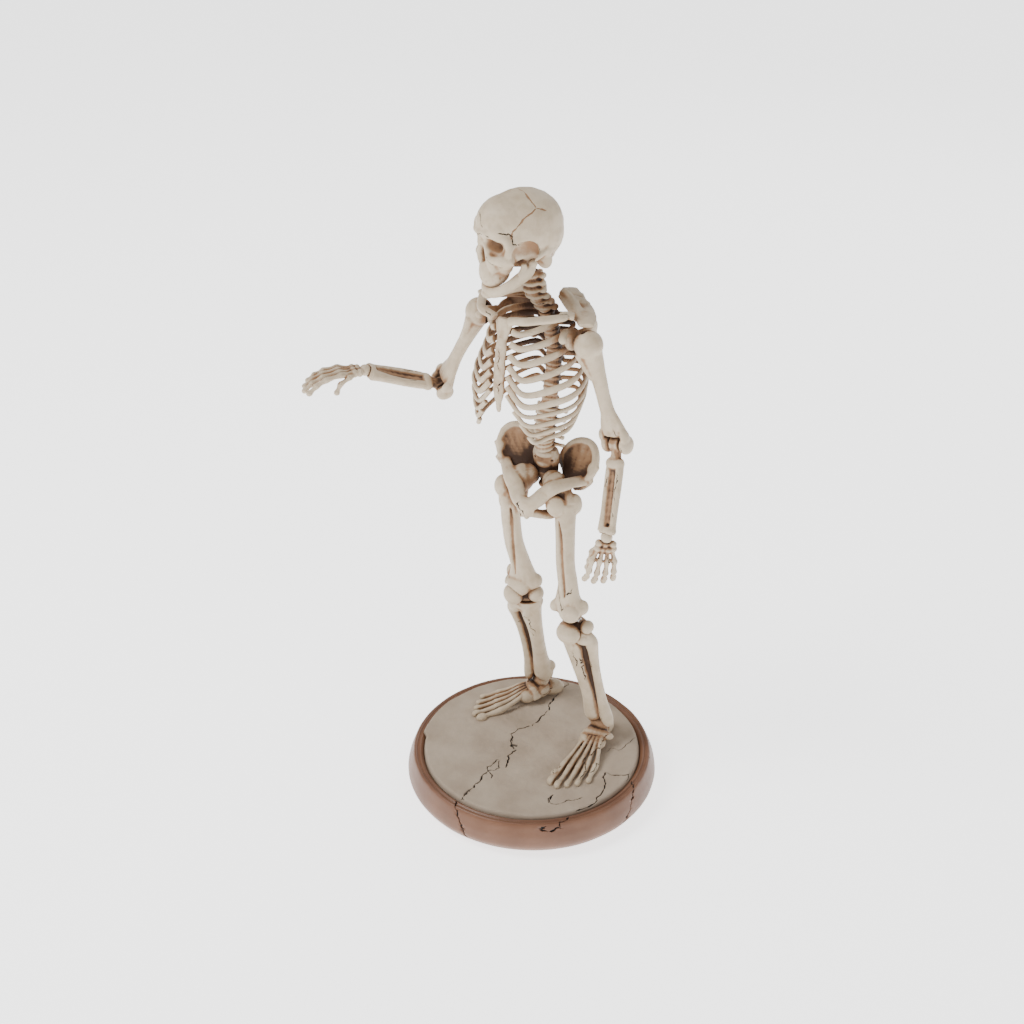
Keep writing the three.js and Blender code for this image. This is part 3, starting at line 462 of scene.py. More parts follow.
def lump(bm, centre, radii, turn=(0, 0, 0)):
    """A rounded mass of bone. Mm and degrees."""
    turned_by = Euler([radians(angle) for angle in turn])
    place = Matrix.LocRotScale(Vector(centre), turned_by, Vector(radii))
    bmesh.ops.create_icosphere(bm, subdivisions=3, radius=1, matrix=place)


def limb(bm, stations, up=(0, 0, 1), steps=4, sides=14):
    """A length of bone through rows of x, y, z, half height towards `up` and half width."""
    rows = smooth_rows(stations, steps)
    previous = None
    for i, row in enumerate(rows):
        ahead = Vector(rows[min(i + 1, len(rows) - 1)][:3]) - Vector(rows[max(i - 1, 0)][:3])
        ahead.normalize()
        tall = (Vector(up) - ahead * Vector(up).dot(ahead)).normalized()
        across = ahead.cross(tall)
        axes = Matrix((tall * max(row[3], 0.05), across * max(row[4], 0.05), ahead)).transposed()
        place = Matrix.Translation(row[:3]) @ axes.to_4x4()
        made = bmesh.ops.create_circle(
            bm, cap_ends=i in (0, len(rows) - 1), segments=sides, radius=1, matrix=place,
        )
        ring = list({e for v in made["verts"] for e in v.link_edges})
        if previous:
            bmesh.ops.bridge_loops(bm, edges=previous + ring)
        previous = ring


ripples = bpy.data.textures.new("ripples", "CLOUDS")
ripples.noise_scale = 0.0045
ripples.noise_depth = 1


def in_place(draw, place):
    """What `draw` makes, moved from mm at the origin to its place in metres."""
    bm = bmesh.new()
    draw(bm)
    bmesh.ops.transform(bm, matrix=place @ Matrix.Scale(MM, 4), verts=bm.verts)
    bmesh.ops.recalc_face_normals(bm, faces=bm.faces)
    return bm


def remesh(thing, voxel):
    skin = thing.modifiers.new("skin", "REMESH")
    skin.mode = "VOXEL"
    skin.voxel_size = voxel * MM


def cast(place, draw, hollow=None, voxel=0.36, relax=12, ripple=0.16):
    """One casting: overlapping masses fused into a single skin, hollows cut, edges relaxed."""
    rough = bpy.data.objects.new("rough", as_mesh(in_place(draw, place)))
    studio.objects.link(rough)
    remesh(rough, voxel)
    tool = None
    if hollow:
        tool = bpy.data.objects.new("tool", as_mesh(in_place(hollow, place)))
        studio.objects.link(tool)
        remesh(tool, voxel * 0.8)
        gouge = rough.modifiers.new("gouge", "BOOLEAN")
        gouge.operation = "DIFFERENCE"
        gouge.solver = "MANIFOLD"
        gouge.object = tool
        remesh(rough, voxel)
    soften = rough.modifiers.new("soften", "SMOOTH")
    soften.factor = 0.5
    soften.iterations = relax
    if ripple:
        sway = rough.modifiers.new("sway", "DISPLACE")
        sway.texture = ripples
        sway.texture_coords = "LOCAL"
        sway.strength = ripple * MM
        sway.mid_level = 0.5
    graph = bpy.context.evaluated_depsgraph_get()
    mesh = bpy.data.meshes.new_from_object(rough.evaluated_get(graph), depsgraph=graph)
    for old in (rough, tool):
        if old:
            bpy.data.meshes.remove(old.data)
    return mesh


def together(meshes):
    """Several castings that touch, as one mesh."""
    bm = bmesh.new()
    for mesh in meshes:
        bm.from_mesh(mesh)
    return as_mesh(bm)


def crack_bone(mesh, place, ways, half_width=0.17, depth=0.5, seed=5, kink=0.22):
    """Fine dark cracks on a bone, from waypoints in the bone's own frame."""
    lines = []
    for i, way in enumerate(ways):
        in_world = [place @ (Vector(p) * MM) / MM for p in way]
        lines.append((jagged(in_world, kink, seed + i), half_width))
    return carve_cracks(mesh, lines, depth, seed, 0.7, (1, 1))


# Bone: cream resin with a brown wash that stays in the grooves, plus painted shade that darkens it in
# broad hollows, between crowded bones and inside the chest, and turns near black in the deepest places.
wash_and_shade, wash_in, wash_out = new_group(
    "brown_wash_and_painted_shade",
    [("Light", "NodeSocketColor", (0.57, 0.465, 0.335, 1)),
    ("Dark", "NodeSocketColor", (0.475, 0.375, 0.258, 1)),
     ("Stain_and_shade", "NodeSocketColor", (0.27, 0.135, 0.058, 1)),
     ("Depth", "NodeSocketColor", (0.03, 0.011, 0.005, 1))],
    [("Colour", "NodeSocketColor"), ("Stained_and_shaded", "NodeSocketFloat")],
)
painted = node(wash_and_shade, "ShaderNodeAttribute", attribute_name="wash_and_shade").outputs["Fac"]
cracked = node(wash_and_shade, "ShaderNodeAttribute", attribute_name="crack").outputs["Fac"]
at = node(wash_and_shade, "ShaderNodeTexCoord").outputs["Object"]
cloud = node(wash_and_shade, "ShaderNodeTexNoise", {"Vector": at, "Scale": 210.0, "Detail": 5.0, "Roughness": 0.6})
dots = node(wash_and_shade, "ShaderNodeTexNoise", {"Vector": at, "Scale": 1500.0, "Detail": 2.0})
patch = node(wash_and_shade, "ShaderNodeMapRange", {"Value": cloud.outputs["Fac"], "From Min": 0.35,
    "From Max": 0.65})
bare = node(wash_and_shade, "ShaderNodeMix", {"Factor": patch.outputs["Result"], "A": wash_in.outputs["Light"],
    "B": wash_in.outputs["Dark"]}, data_type="RGBA")
uneven = node(wash_and_shade, "ShaderNodeMath", {0: cloud.outputs["Fac"], 1: -0.5}, operation="ADD")
uneven = node(wash_and_shade, "ShaderNodeMath", {0: uneven.outputs[0], 1: 0.45, 2: painted},
    operation="MULTIPLY_ADD")
uneven = node(wash_and_shade, "ShaderNodeMath", {0: dots.outputs["Fac"], 1: 0.12, 2: uneven.outputs[0]},
    operation="MULTIPLY_ADD")
# Brown mask: the wash in the grooves, and painted shade in broad hollows, between bones and inside the
# chest.
stain_and_shade_mask = node(wash_and_shade, "ShaderNodeMapRange", {"Value": uneven.outputs[0], "From Min": 0.08, "From Max": 0.62,
    "To Max": 0.9}, interpolation_type="SMOOTHSTEP")
# Painted deep shade: where the mask is strongest the colour goes near black.
deep = node(wash_and_shade, "ShaderNodeMapRange", {"Value": uneven.outputs[0], "From Min": 0.62, "From Max": 1.15,
    "To Max": 0.92}, interpolation_type="SMOOTHSTEP")
brown = node(wash_and_shade, "ShaderNodeMix", {"Factor": stain_and_shade_mask.outputs["Result"], "A": bare.outputs["Result"],
    "B": wash_in.outputs["Stain_and_shade"]}, data_type="RGBA")
deep_shade_colour = node(wash_and_shade, "ShaderNodeMix", {"Factor": deep.outputs["Result"], "A": brown.outputs["Result"],
    "B": wash_in.outputs["Depth"]}, data_type="RGBA")
lined = node(wash_and_shade, "ShaderNodeMix", {"Factor": cracked, "A": deep_shade_colour.outputs["Result"],
    "B": (0.012, 0.008, 0.006, 1)}, data_type="RGBA")
wash_and_shade.links.new(lined.outputs["Result"], wash_out.inputs["Colour"])
wash_and_shade.links.new(stain_and_shade_mask.outputs["Result"], wash_out.inputs["Stained_and_shaded"])

resin = bpy.data.materials.new("bone_resin")
resin.use_nodes = True
tree = resin.node_tree
resin_body = tree.nodes["Principled BSDF"]
resin_body.inputs["Specular IOR Level"].default_value = 0.4
# Base colour from the wash group: a brown wash in the grooves plus painted shade in hollows, between
# bones and inside the chest.
wash_and_shade_node = tree.nodes.new("ShaderNodeGroup")
wash_and_shade_node.node_tree = wash_and_shade
tree.links.new(wash_and_shade_node.outputs["Colour"], resin_body.inputs["Base Color"])
sheen = node(tree, "ShaderNodeMapRange", {"Value": wash_and_shade_node.outputs["Stained_and_shaded"], "To Min": 0.5,
    "To Max": 0.66})
tree.links.new(sheen.outputs["Result"], resin_body.inputs["Roughness"])
pitted = tree.nodes.new("ShaderNodeGroup")
pitted.node_tree = grain
pitted.inputs["Size"].default_value = 260
relief = node(tree, "ShaderNodeBump", {"Strength": 1.0, "Distance": 0.00006,
    "Height": pitted.outputs["Relief"]})
tree.links.new(relief.outputs["Normal"], resin_body.inputs["Normal"])

bones = {}


def groove_suture(mesh, place, ways, half_width, depth):
    """A soft groove in a bone that only the wash darkens, such as the seam between two plates."""
    crack_bone(mesh, place, ways, half_width, depth, 5, 0.08)
    layer = mesh.attributes["crack"].data
    darkness = np.empty(len(layer))
    layer.foreach_get("value", darkness)
    seam = mesh.attributes.new("seam", "FLOAT", "POINT")
    seam.data.foreach_set("value", darkness.astype(np.float32))
    layer.foreach_set("value", np.zeros(len(layer), np.float32))


def bone(name, mesh, body, nodes, stain_and_shade_base=0.0, strength=1.0, inside=0.0):
    """Shows a bone, and keeps it for the wash and painted shade: how brown it is all over (more on the
    spine, as painted shade inside the chest), how strongly wash and shade take, and how much painted
    shade goes on faces turned to the middle of the chest."""
    bones[name] = (mesh, stain_and_shade_base, strength, inside)
    return piece(name, mesh, resin, body, nodes)


def centre_of(cad_node):
    low_corner, high_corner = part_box(cad_node)
    return (low_corner + high_corner) / 2


def bone_frame(start, end, across):
    """A bone's own frame: its -Z towards its far end, and its +X towards `across`."""
    up = (start - end).normalized()
    right = (across - up * across.dot(up)).normalized()
    return Matrix.Translation(start) @ Matrix((right, up.cross(right), up)).transposed().to_4x4()


FOOT_TURN = {"left": 13.0, "right": 27.0}
FOOT_LENGTH = {"left": 43.5, "right": 38.5}

for side, name in ((1, "left"), (-1, "right")):
    ankle = centre_of(f"{name}_ankle_ball")
    place = Matrix.Translation(ankle) @ Matrix.Rotation(radians(side * FOOT_TURN[name]), 4, "Z")
    length = FOOT_LENGTH[name]

    def instep(bm):
        lump(bm, (0, 6.5, -7.4), (4.1, 6.4, 4.4), (-14, 0, 0))
        lump(bm, (-side * 0.6, -1.5, -5.6), (5.4, 6, 4.6))
        limb(bm, [(-side * 6.6, -4.4, -7.6, 1.6, 2.4), (-side * 3, -5.4, -3.6, 2.3, 2.8),
            (side * 1.5, -4.8, -3.2, 2.3, 2.8),
                  (side * 6.6, -2.8, -5.2, 1.5, 2.2), (side * 8.2, -2.2, -5.4, 0.6, 0.9)], up=(0, 0, 1),
                  steps=3)
        lump(bm, (-side * 3.4, -9, -6.6), (3.4, 4.4, 3.4))
        lump(bm, (side * 2.6, -8.4, -6.4), (4.2, 4.2, 2.7))

    def toe_bones(bm):
        for toe, (reach, thick) in enumerate(((0.97, 2.5), (1.0, 2.2), (0.95, 1.9), (0.88, 1.8),
            (0.79, 1.7))):
            across = side * (toe - 1.75)
            tip = -length * reach
            knuckle = tip * 0.66
            limb(bm, [
                (across * 1.5, -5.5, -4.6, 1.9, 1.5),
                (across * 2.1, -11, -5.2, 1.45, 1.15),
                (across * 2.9, knuckle * 0.74, -7.4, 1.25, 1.1),
                (across * 3.4, knuckle + 1.2, -8.7, 1.75, 1.6),
                (across * 3.5, knuckle - 1.4, -9.2, 1.7, 1.6),
                (across * 3.65, knuckle * 0.45 + tip * 0.55, -9.4, 1.15, 1.15),
                (across * 3.8, tip + 3.6, -9.6, 1.5, 1.5),
            ], up=(0, 0, 1), steps=3, sides=10)
            lump(bm, (across * 3.85, tip + 2.3, -9.6), (thick * 0.86, thick * 1.15, thick * 0.86))
            lump(bm, (across * 3.45, knuckle, -8.9), (1.75, 1.7, 1.9))
        if side > 0:
            lump(bm, (-side * 7.6, -length * 0.8, -9.4), (1.7, 2.4, 2))

    def between_toes(bm):
        for gap in (-1.25, -0.25, 0.75, 1.75):
            across = side * gap
            limb(bm, [(across * 1.9, -8, -3.2, 0.9, 0.1), (across * 2.7, -16, -5.4, 2.2, 0.42),
                      (across * 3.5, -length * 0.6, -8, 2.6, 0.5), (across * 4, -length, -10, 2, 0.8)],
                      up=(0, 0, 1), sides=8)

    foot_mesh = together([
        cast(place, instep, voxel=0.34),
        cast(place, toe_bones, between_toes, voxel=0.3, relax=3, ripple=0.1),
    ])
    if side > 0:
        ways = [
            [(6, -4, -3), (5, -9, -4), (4.4, -15, -6), (3.4, -19, -7)],
            [(-7, -30, -8), (-8.4, -34, -8), (-7, -37, -8.6)],
            [(3.4, -19, -7), (1.4, -22, -7.4), (4.2, -26, -7.6), (6.4, -30, -8), (5.6, -35, -8.4)],
            [(8.4, -20, -8), (9, -26, -8), (8, -31, -9)],
        ]
    else:
        ways = [
            [(-3, -4, -1), (-1, -6, -2), (1, -5, -4), (3, -6, -7), (5, -5, -9)],
            [(5, -2, -6), (4.6, 2, -6), (4.4, 5, -5)],
        ]
    crack_bone(foot_mesh, place, ways, 0.2, 0.5, 41)
    bone(f"{name}_foot_bone", foot_mesh, "stand", [f"{name}_foot"], 0.06)

    def ankle_ball(bm):
        lump(bm, (0, 0, -0.3), (4.9, 4.1, 3.7), (0, side * 6, 0))

    ball_mesh = cast(place, ankle_ball, voxel=0.3, relax=3, ripple=0.08)
    bone(f"{name}_ankle_ball_bone", ball_mesh, "stand", [f"{name}_ankle_ball"])

# ---- Shins ----
# Tibia and fibula cast together, with the dark slit between them, and the two rounded lobes of
# the knee glued on top, where the thigh bone rests. The knee pins run through from side to side.

pins = bpy.data.materials.new("pin_steel")
pins.use_nodes = True
pin_body = pins.node_tree.nodes["Principled BSDF"]
pin_body.inputs["Metallic"].default_value = 1.0
pin_body.inputs["Roughness"].default_value = 0.34
brushed = node(pins.node_tree, "ShaderNodeGroup")
brushed.node_tree = grain
brushed.inputs["Size"].default_value = 900
tone = node(pins.node_tree, "ShaderNodeMix", {
    "Factor": brushed.outputs["Mottle"], "A": (0.42, 0.41, 0.4, 1), "B": (0.58, 0.57, 0.55, 1),
}, data_type="RGBA")
pins.node_tree.links.new(tone.outputs["Result"], pin_body.inputs["Base Color"])
for cad_name, cad_node in frame["nodes"].items():
    if cad_name.endswith("_pin"):
        cad_node.data.materials.clear()
        cad_node.data.materials.append(pins)

PELVIS_TURN = 10.0
PIN_INSET = 2.0  # the hip pins reach this much further in than out
KNEE_LOBES = {
    "left": (((0.9, -5.4, -4.9), (5.9, 5.0, 4.9), (0, 20, 0)),
        ((7.4, 1.0, -4.2), (3.1, 3.4, 3.2), (0, 0, 0)),
             ((-3.5, 3.5, -2), (4.5, 4.5, 4.5), (0, 0, 0))),
    "right": (((-4.6, -3.8, 0.6), (4.5, 4.6, 5.6), (0, -16, 0)),
    ((5.7, -1.0, -0.2), (3.9, 4.0, 4.3), (0, 12, 0)),
              ((1, 3, -1), (5, 4.4, 4.4), (0, 0, 0))),
}
legs = {}

for side, name in ((1, "left"), (-1, "right")):
    ankle = centre_of(f"{name}_ankle_ball")
    knee = centre_of(f"{name}_knee_pin")
    pelvis_x = Vector((cos(radians(PELVIS_TURN)), sin(radians(PELVIS_TURN)), 0))
    hip = centre_of(f"{name}_hip_pin") + side * PIN_INSET * MM * pelvis_x
    hinge = (knee - hip).cross(ankle - knee)
    legs[name] = (hip, knee, hinge)
    place = bone_frame(knee, ankle, hinge)
    foot_end = -(knee - ankle).length / MM

    def shin(bm):
        inner = -side
        limb(bm, [  # tibia
            (inner * 1.2, -0.6, -4.4, 4.6, 6.2), (inner * 1.4, -0.8, -9, 4.9, 6.3),
                (inner * 1.9, -1.2, -15, 4.1, 5.0),
            (inner * 2.3, -1.0, -24, 3.6, 3.9), (inner * 2.2, -0.5, -36, 3.3, 3.5),
            (inner * 1.9, 0, foot_end + 17, 3.5, 3.9),
            (inner * 2.0, 0, foot_end + 9, 4.4, 4.9), (inner * 2.3, 0, foot_end + 4.6, 4.4, 5.1),
            (inner * 3.2, 0, foot_end + 1.6, 3.2, 3.6),
        ], up=(0, -1, 0))
        limb(bm, [  # fibula
            (side * 6.2, 0.4, -8.4, 2.6, 2.8), (side * 7.6, 0.8, -13, 3.2, 3.2),
                (side * 7.2, 1.0, -18, 2.7, 2.6), (side * 6.0, 1.0, -27, 2.2, 2.2),
            (side * 5.2, 0.8, -38, 2.1, 2.1), (side * 4.8, 0.4, foot_end + 15, 2.4, 2.4),
            (side * 5.0, 0, foot_end + 7, 3.2, 3.0),
            (side * 5.4, -0.2, foot_end + 2.5, 3.1, 2.9), (side * 5.4, -0.2, foot_end, 2.2, 2.2),
        ], up=(0, -1, 0))
        limb(bm, [(side * 1.8, 1.2, -8, 1.6, 4), (side * 2, 1.4, -30, 1.0, 3.6),
            (side * 1.8, 0.8, foot_end + 8, 1.4, 3.4)],
             up=(0, -1, 0), sides=8)
        lump(bm, (0, 0.4, -7.4), (8.2, 5.8, 3.4))
        lump(bm, (side * 4.6, -0.6, -9.5), (4.6, 4.2, 3.4), (0, side * 30, 0))
        lump(bm, (inner * 1, -5.0, -12), (2.2, 1.6, 4))
        if side < 0:
            lump(bm, (inner * 5.2, 1.5, foot_end + 9), (3.2, 2.6, 3.4))

    def slit(bm):
        limb(bm, [(side * 2.7, -7, -11.6, 6, 0.3), (side * 3.1, -6, -15, 6.3, 0.95),
            (side * 3.0, -6, -22, 6.4, 0.6),
                  (side * 2.7, -6, -34, 6.0, 0.4), (side * 2.4, -6, foot_end + 10, 5.2, 0.4),
                  (side * 2.5, -6, foot_end + 1, 5, 0.8)],
             up=(0, -1, 0), sides=8)
        limb(bm, [(side * 3.0, 7, -14, 4.6, 0.4), (side * 2.9, 7, -24, 5, 1.2),
            (side * 2.6, 7, foot_end + 12, 5, 0.4)],
             up=(0, -1, 0), sides=8)
        lump(bm, (0, 0, foot_end), (5.4, 4.6, 4.2))
        for centre, radii, turn in KNEE_LOBES[name]:
            lump(bm, centre, [r + 0.05 for r in radii], turn)

    def lobes(bm):
        for centre, radii, turn in KNEE_LOBES[name]:
            lump(bm, centre, radii, turn)
        lump(bm, (0, 1.5, -4.5), (7, 4.5, 3.5))

    shin_mesh = cast(place, shin, slit)
    if side > 0:
        ways = [[(-0.5, -5, -17), (-0.2, -4.5, -22), (-1.4, -4.4, -27)],
            [(2.4, -4, -22), (3, -4, -30), (2.6, -4, -36)],
                [(3.6, -3, foot_end + 12), (3.4, -4, foot_end + 7), (4.6, -4, foot_end + 3)],
                [(-5, -2, -20), (-5.2, -1, -27)]]
    else:
        ways = [[(-5, -5, -12), (-1, -6, -12.6), (2, -6, -12)],
            [(1.4, -5, -13), (2, -5, -17), (1.2, -5, -22), (3, -4.6, -25)],
                [(-4.4, -4, -22), (-2, -5, -22.6), (0, -5, -25), (2, -4.6, -27.5)]]
    crack_bone(shin_mesh, place, ways, 0.2, 0.5, 51)
    lobes_mesh = cast(place, lobes, voxel=0.34, relax=2, ripple=0.1)
    bone(f"{name}_shin_bone", together([shin_mesh, lobes_mesh]), "stand", [f"{name}_shin"])

# ---- Thigh bones ----
# Each is cast in one piece: head and neck at the hip, two round masses at the top of the shaft,
# a long groove down the outside and a V-shaped end that stands between the lobes of the knee.

for side, name in ((1, "left"), (-1, "right")):
    hip, knee, hinge = legs[name]
    place = bone_frame(hip, knee, hinge)
    end = -(hip - knee).length / MM
    bow = -1.8  # forwards, and a little outwards on the figure's right

    def thigh(bm):
        lump(bm, (0, 0, 0), (4.6, 4.6, 4.6))
        limb(bm, [(0, 0, 0, 3, 3), (side * 3, -0.5, -2, 3.1, 3.1), (side * 5, -1.5, -6, 3.6, 3.6)],
            up=(0, 1, 0.2))
        lean = -1.4 if side > 0 else -2.6
        limb(bm, [
            (side * 3.4, -1.6, -5, 5.0, 4.6), (side * 2.6, -2.0, -12, 4.9, 4.8),
            (side * 2.0 + lean * 0.4, bow, end * 0.36, 4.5, 4.5),
            (side * 1.2 + lean * 0.5, bow, end * 0.55, 4.3, 4.5),
            (side * 0.6, bow * 0.7, end * 0.72, 4.4, 4.9),
            (0, -1.0, end + 11, 4.8, 6.3), (0, -0.8, end + 6.4, 5.2, 8.6), (0, -0.8, end + 3.4, 4.4, 7.6),
            (0, -1.4, end + 0.4, 2.8, 4.2),
        ], up=(0, -1, 0))
        if side > 0:
            lump(bm, (0.6, -5.6, -5.6), (4.9, 4.2, 5.6), (12, -14, 0))
            lump(bm, (6.2, 1.2, -6.0), (3.0, 3.4, 4.8))
            lump(bm, (-6.2, -3.2, end + 6.2), (2.6, 2.6, 3.2), (0, 24, 0))
            lump(bm, (6.4, 1.2, end + 6.2), (2.6, 3.0, 3.6))
            lump(bm, (2.4, -4.2, end + 4.4), (5.6, 3.4, 4.6))
        else:
            lump(bm, (-4.8, -3.2, -2.8), (4.2, 4.2, 5.6), (0, 10, 0))
            lump(bm, (-3.6, -3.4, -10), (3.8, 4.0, 7))
            lump(bm, (-6.2, -2.0, end + 6.0), (2.6, 3.0, 3.4))
            lump(bm, (6.4, -0.4, end + 6.6), (2.9, 3.2, 3.6))
            lump(bm, (-1.6, -4.0, end + 5.0), (5.8, 3.2, 5.4))
            lump(bm, (-6.5, 2.0, end + 9), (2.4, 2.6, 4))

    def furrows(bm):
        x = 1.9 if side > 0 else -1.6
        limb(bm, [(x + 0.4, -6.4, -12, 1.4, 0.3), (x + 0.3, -6.8, -20, 2.3, 1.2),
            (x - 0.2, -6.9, end * 0.5, 2.4, 1.2),
                  (x - 0.6, -6.2, end * 0.72, 2.2, 1.1), (x - 0.6, -6.0, end + 12, 1.8, 0.4)],
                  up=(0, -1, 0), sides=8)
        limb(bm, [(0, 6, -12, 1.8, 0.3), (0, 5.4, end * 0.5, 1.8, 0.9), (0, 6, end + 13, 1.8, 0.5)],
            up=(0, 1, 0), sides=8)
        for centre, radii, turn in KNEE_LOBES[name]:
            lump(bm, Vector(centre) + Vector((0, 0, end)), [r + 0.15 for r in radii], turn)
        lump(bm, (side * 3.6, 2.5, -1.4), (1.6, 3.4, 1.4))

    thigh_mesh = cast(place, thigh, furrows)
    if side > 0:
        ways = [[(-3.4, -4.6, end + 19), (-2.8, -5, end + 15), (-1.4, -6, end + 11.5),
            (-0.6, -6, end + 8), (0.6, -6.4, end + 6), (1.2, -6.4, end + 8)],
                [(2, -5, end + 14), (4, -3.6, end + 15), (4.4, -3, end + 17)]]
        crack_bone(thigh_mesh, place, ways, 0.22, 0.5, 61)
    bone(f"{name}_thigh_bone", thigh_mesh, "stand", [f"{name}_femur"])

# ---- Pelvis and sacrum ----
# The hip bones are one casting: two flared wings with a thick crest, the rings below them and
# the block where they meet in front. The wedge of the sacrum is cast apart and glued in behind.

hips = (legs["left"][0] + legs["right"][0]) / 2
pelvis_place = Matrix.Translation(hips) @ Matrix.Rotation(radians(PELVIS_TURN), 4, "Z")
hip_x = (legs["left"][0] - legs["right"][0]).length / 2 / MM
WING_SWEEP, WING_FLARE = 18, 22
wing_tilt = Matrix.Rotation(radians(-WING_SWEEP), 3, "Z") @ Matrix.Rotation(radians(90 - WING_FLARE), 3,
    "X")


def on_wing(side, along, rise, out=0.0):
    """A point of a hip wing: how far forwards-outwards, how far up it and how far off its face."""
    spot = wing_tilt @ Vector((along, rise, -1.3 - out)) + Vector((4.6, 7, -1))
    return Vector((side * spot.x, spot.y, spot.z))


CREST = ((-1, 7.5), (-0.3, 14.6), (3.6, 20.2), (9.8, 22.8), (15.4, 21.4), (18.4, 15.8), (17.9, 9.6),
    (14.6, 5))


def wings(bm):
    for side in (1, -1):
        face = on_wing(side, 5, 5, 1) - on_wing(side, 5, 5)
        for along, rise in CREST:
            low_end = on_wing(side, 6 + along * 0.25, 1.5)
            high_end = on_wing(side, along, rise)
            middle = (low_end + high_end) / 2 + face * 0.9
            limb(bm, [(*low_end, 1.9, 2.6), (*middle, 1.1, 4.0), (*high_end, 1.2, 3.8)], up=face, steps=5,
                sides=10)
        rows = [(*on_wing(side, along, rise), 1.9 + 0.3 * sin(k * 1.4), 1.7) for k,
            (along, rise) in enumerate(CREST)]
        limb(bm, rows, up=face, steps=5)
        lump(bm, on_wing(side, 17.6, 12), (2.0, 2.4, 3.4))
        lump(bm, (side * (hip_x - 3.4), 0.4, 0.4), (5.6, 6.6, 6.8))
        lump(bm, (side * (hip_x - 6.4), 3, 2), (4.4, 5.6, 4.8))
        limb(bm, [(side * (hip_x - 3), -3.4, -0.6, 3.4, 3.0), (side * 6.6, -8.2, -2.4, 2.4, 2.5),
            (side * 2.6, -10.8, -3.8, 2.4, 2.6), (0, -11.4, -4.6, 2.6, 2.6)])
        limb(bm, [(side * (hip_x - 3), 3, -3, 2.6, 2.6), (side * (hip_x - 3), 1.6, -9.6, 2.4, 3.2),
            (side * (hip_x - 4.4), -1, -12.4, 2.7, 3.0),
                  (side * (hip_x - 7), -5, -12, 1.9, 2.2), (side * 1.6, -10.4, -9, 1.9, 2.4)],
                  up=(side, 0, 0))
        limb(bm, [(*on_wing(side, 15.6, 6.6), 1.7, 2.6), (side * (hip_x - 0.4), -5.2, 3.6, 1.9, 3.4),
            (side * (hip_x - 4.6), -7.4, 0.2, 2.2, 3.8),
                  (side * 4, -10.4, -3.4, 2.2, 3.6), (side * 1, -11.4, -5.2, 2.2, 3.4)],
                  up=(0, -0.7, 0.7), steps=5, sides=16)
    lump(bm, (0, -11.4, -6.4), (4.6, 2.6, 4.8))
    lump(bm, (1.0, -12.2, -10), (1.5, 1.6, 2.2))
    lump(bm, (-1.6, -11.8, -9.4), (1.5, 1.5, 2.6))


def pelvis_room(bm):
    for side in (1, -1):
        lump(bm, (side * hip_x, 0, 0), (5.3, 5.3, 5.3))
        lump(bm, (side * (hip_x + 6), 0, -4), (6.4, 6, 7))
    limb(bm, [(0, 10, -9, 3.6, 5.8), (0, 8.6, 2, 4.6, 7.2), (0, 7.4, 9, 5.2, 8.4), (0, 6, 24, 8, 8.6)],
        up=(0, 1, 0), sides=20)


def sacrum(bm):
    limb(bm, [(0, 10.6, -7.6, 1.4, 1.6), (0, 9.6, -3, 2.4, 3.6), (0, 8.4, 2, 3.1, 5.2),
        (0, 7.4, 7.5, 3.6, 6.2), (0, 7.2, 12, 3.8, 6.6), (0, 7.2, 15.2, 3.5, 5.6)],
         up=(0, 1, 0), sides=18)
    for k, z in enumerate((-2.6, 2.4, 8.0, 13.2)):
        lump(bm, (0, 5.8 - z * 0.08, z), (3.0 + 0.5 * k, 2.4, 2.2))
        for side in (1, -1):
            lump(bm, (side * (1.4 + 0.3 * k), 11.4 - z * 0.12, z), (1.2, 1.3, 1.9))


def sacral_holes(bm):
    for side in (1, -1):
        for k, z in enumerate((-0.4, 5.2, 10.4)):
            lump(bm, (side * (3.3 + 0.55 * k), 4.0 - z * 0.06, z), (0.8, 2.0, 0.9))
            lump(bm, (side * (3.1 + 0.5 * k), 12.6 - z * 0.08, z), (0.7, 1.6, 0.8))


pelvis_mesh = cast(pelvis_place, wings, pelvis_room, voxel=0.4, relax=11)
crack_bone(pelvis_mesh, pelvis_place, [
    [(-2, -13, -3.6), (-3.4, -13, -5), (-2, -13, -6.6), (0, -13.6, -7.4), (0.4, -13.6, -10)],
    [(-1.4, -13, -8), (-1.8, -13, -11)],
], 0.24, 0.6, 71)
bone("pelvis_bone", pelvis_mesh, "stand", ["pelvis"], 0.05)
bone("sacrum_bone", cast(pelvis_place, sacrum, sacral_holes, voxel=0.32, relax=4), "stand", ["sacrum"],
    0.1)

# ---- Spine ----
# Three castings, for the loins, the chest and the neck. Every vertebra is a waisted drum with a
# spine behind and a wing to each side, and a dark seam stands for the disc between two of them.

CHEST_TOP = 239.0
CHEST_Y, CHEST_HALF, CHEST_DEEP = 7.0, 25.5, 21.0
STERNUM_LENGTH = 35.0
body_x = -8.0
spine_line = smooth_rows([(21, 154), (16.5, 176), (20, 193), (23, 215), (17, 236), (8, 247.5), (8, 260)],
    12)
trunk_place = Matrix.Translation((body_x * MM, 0, 0))


def spine_y(height):
    return float(np.interp(height, spine_line[:, 1], spine_line[:, 0]))


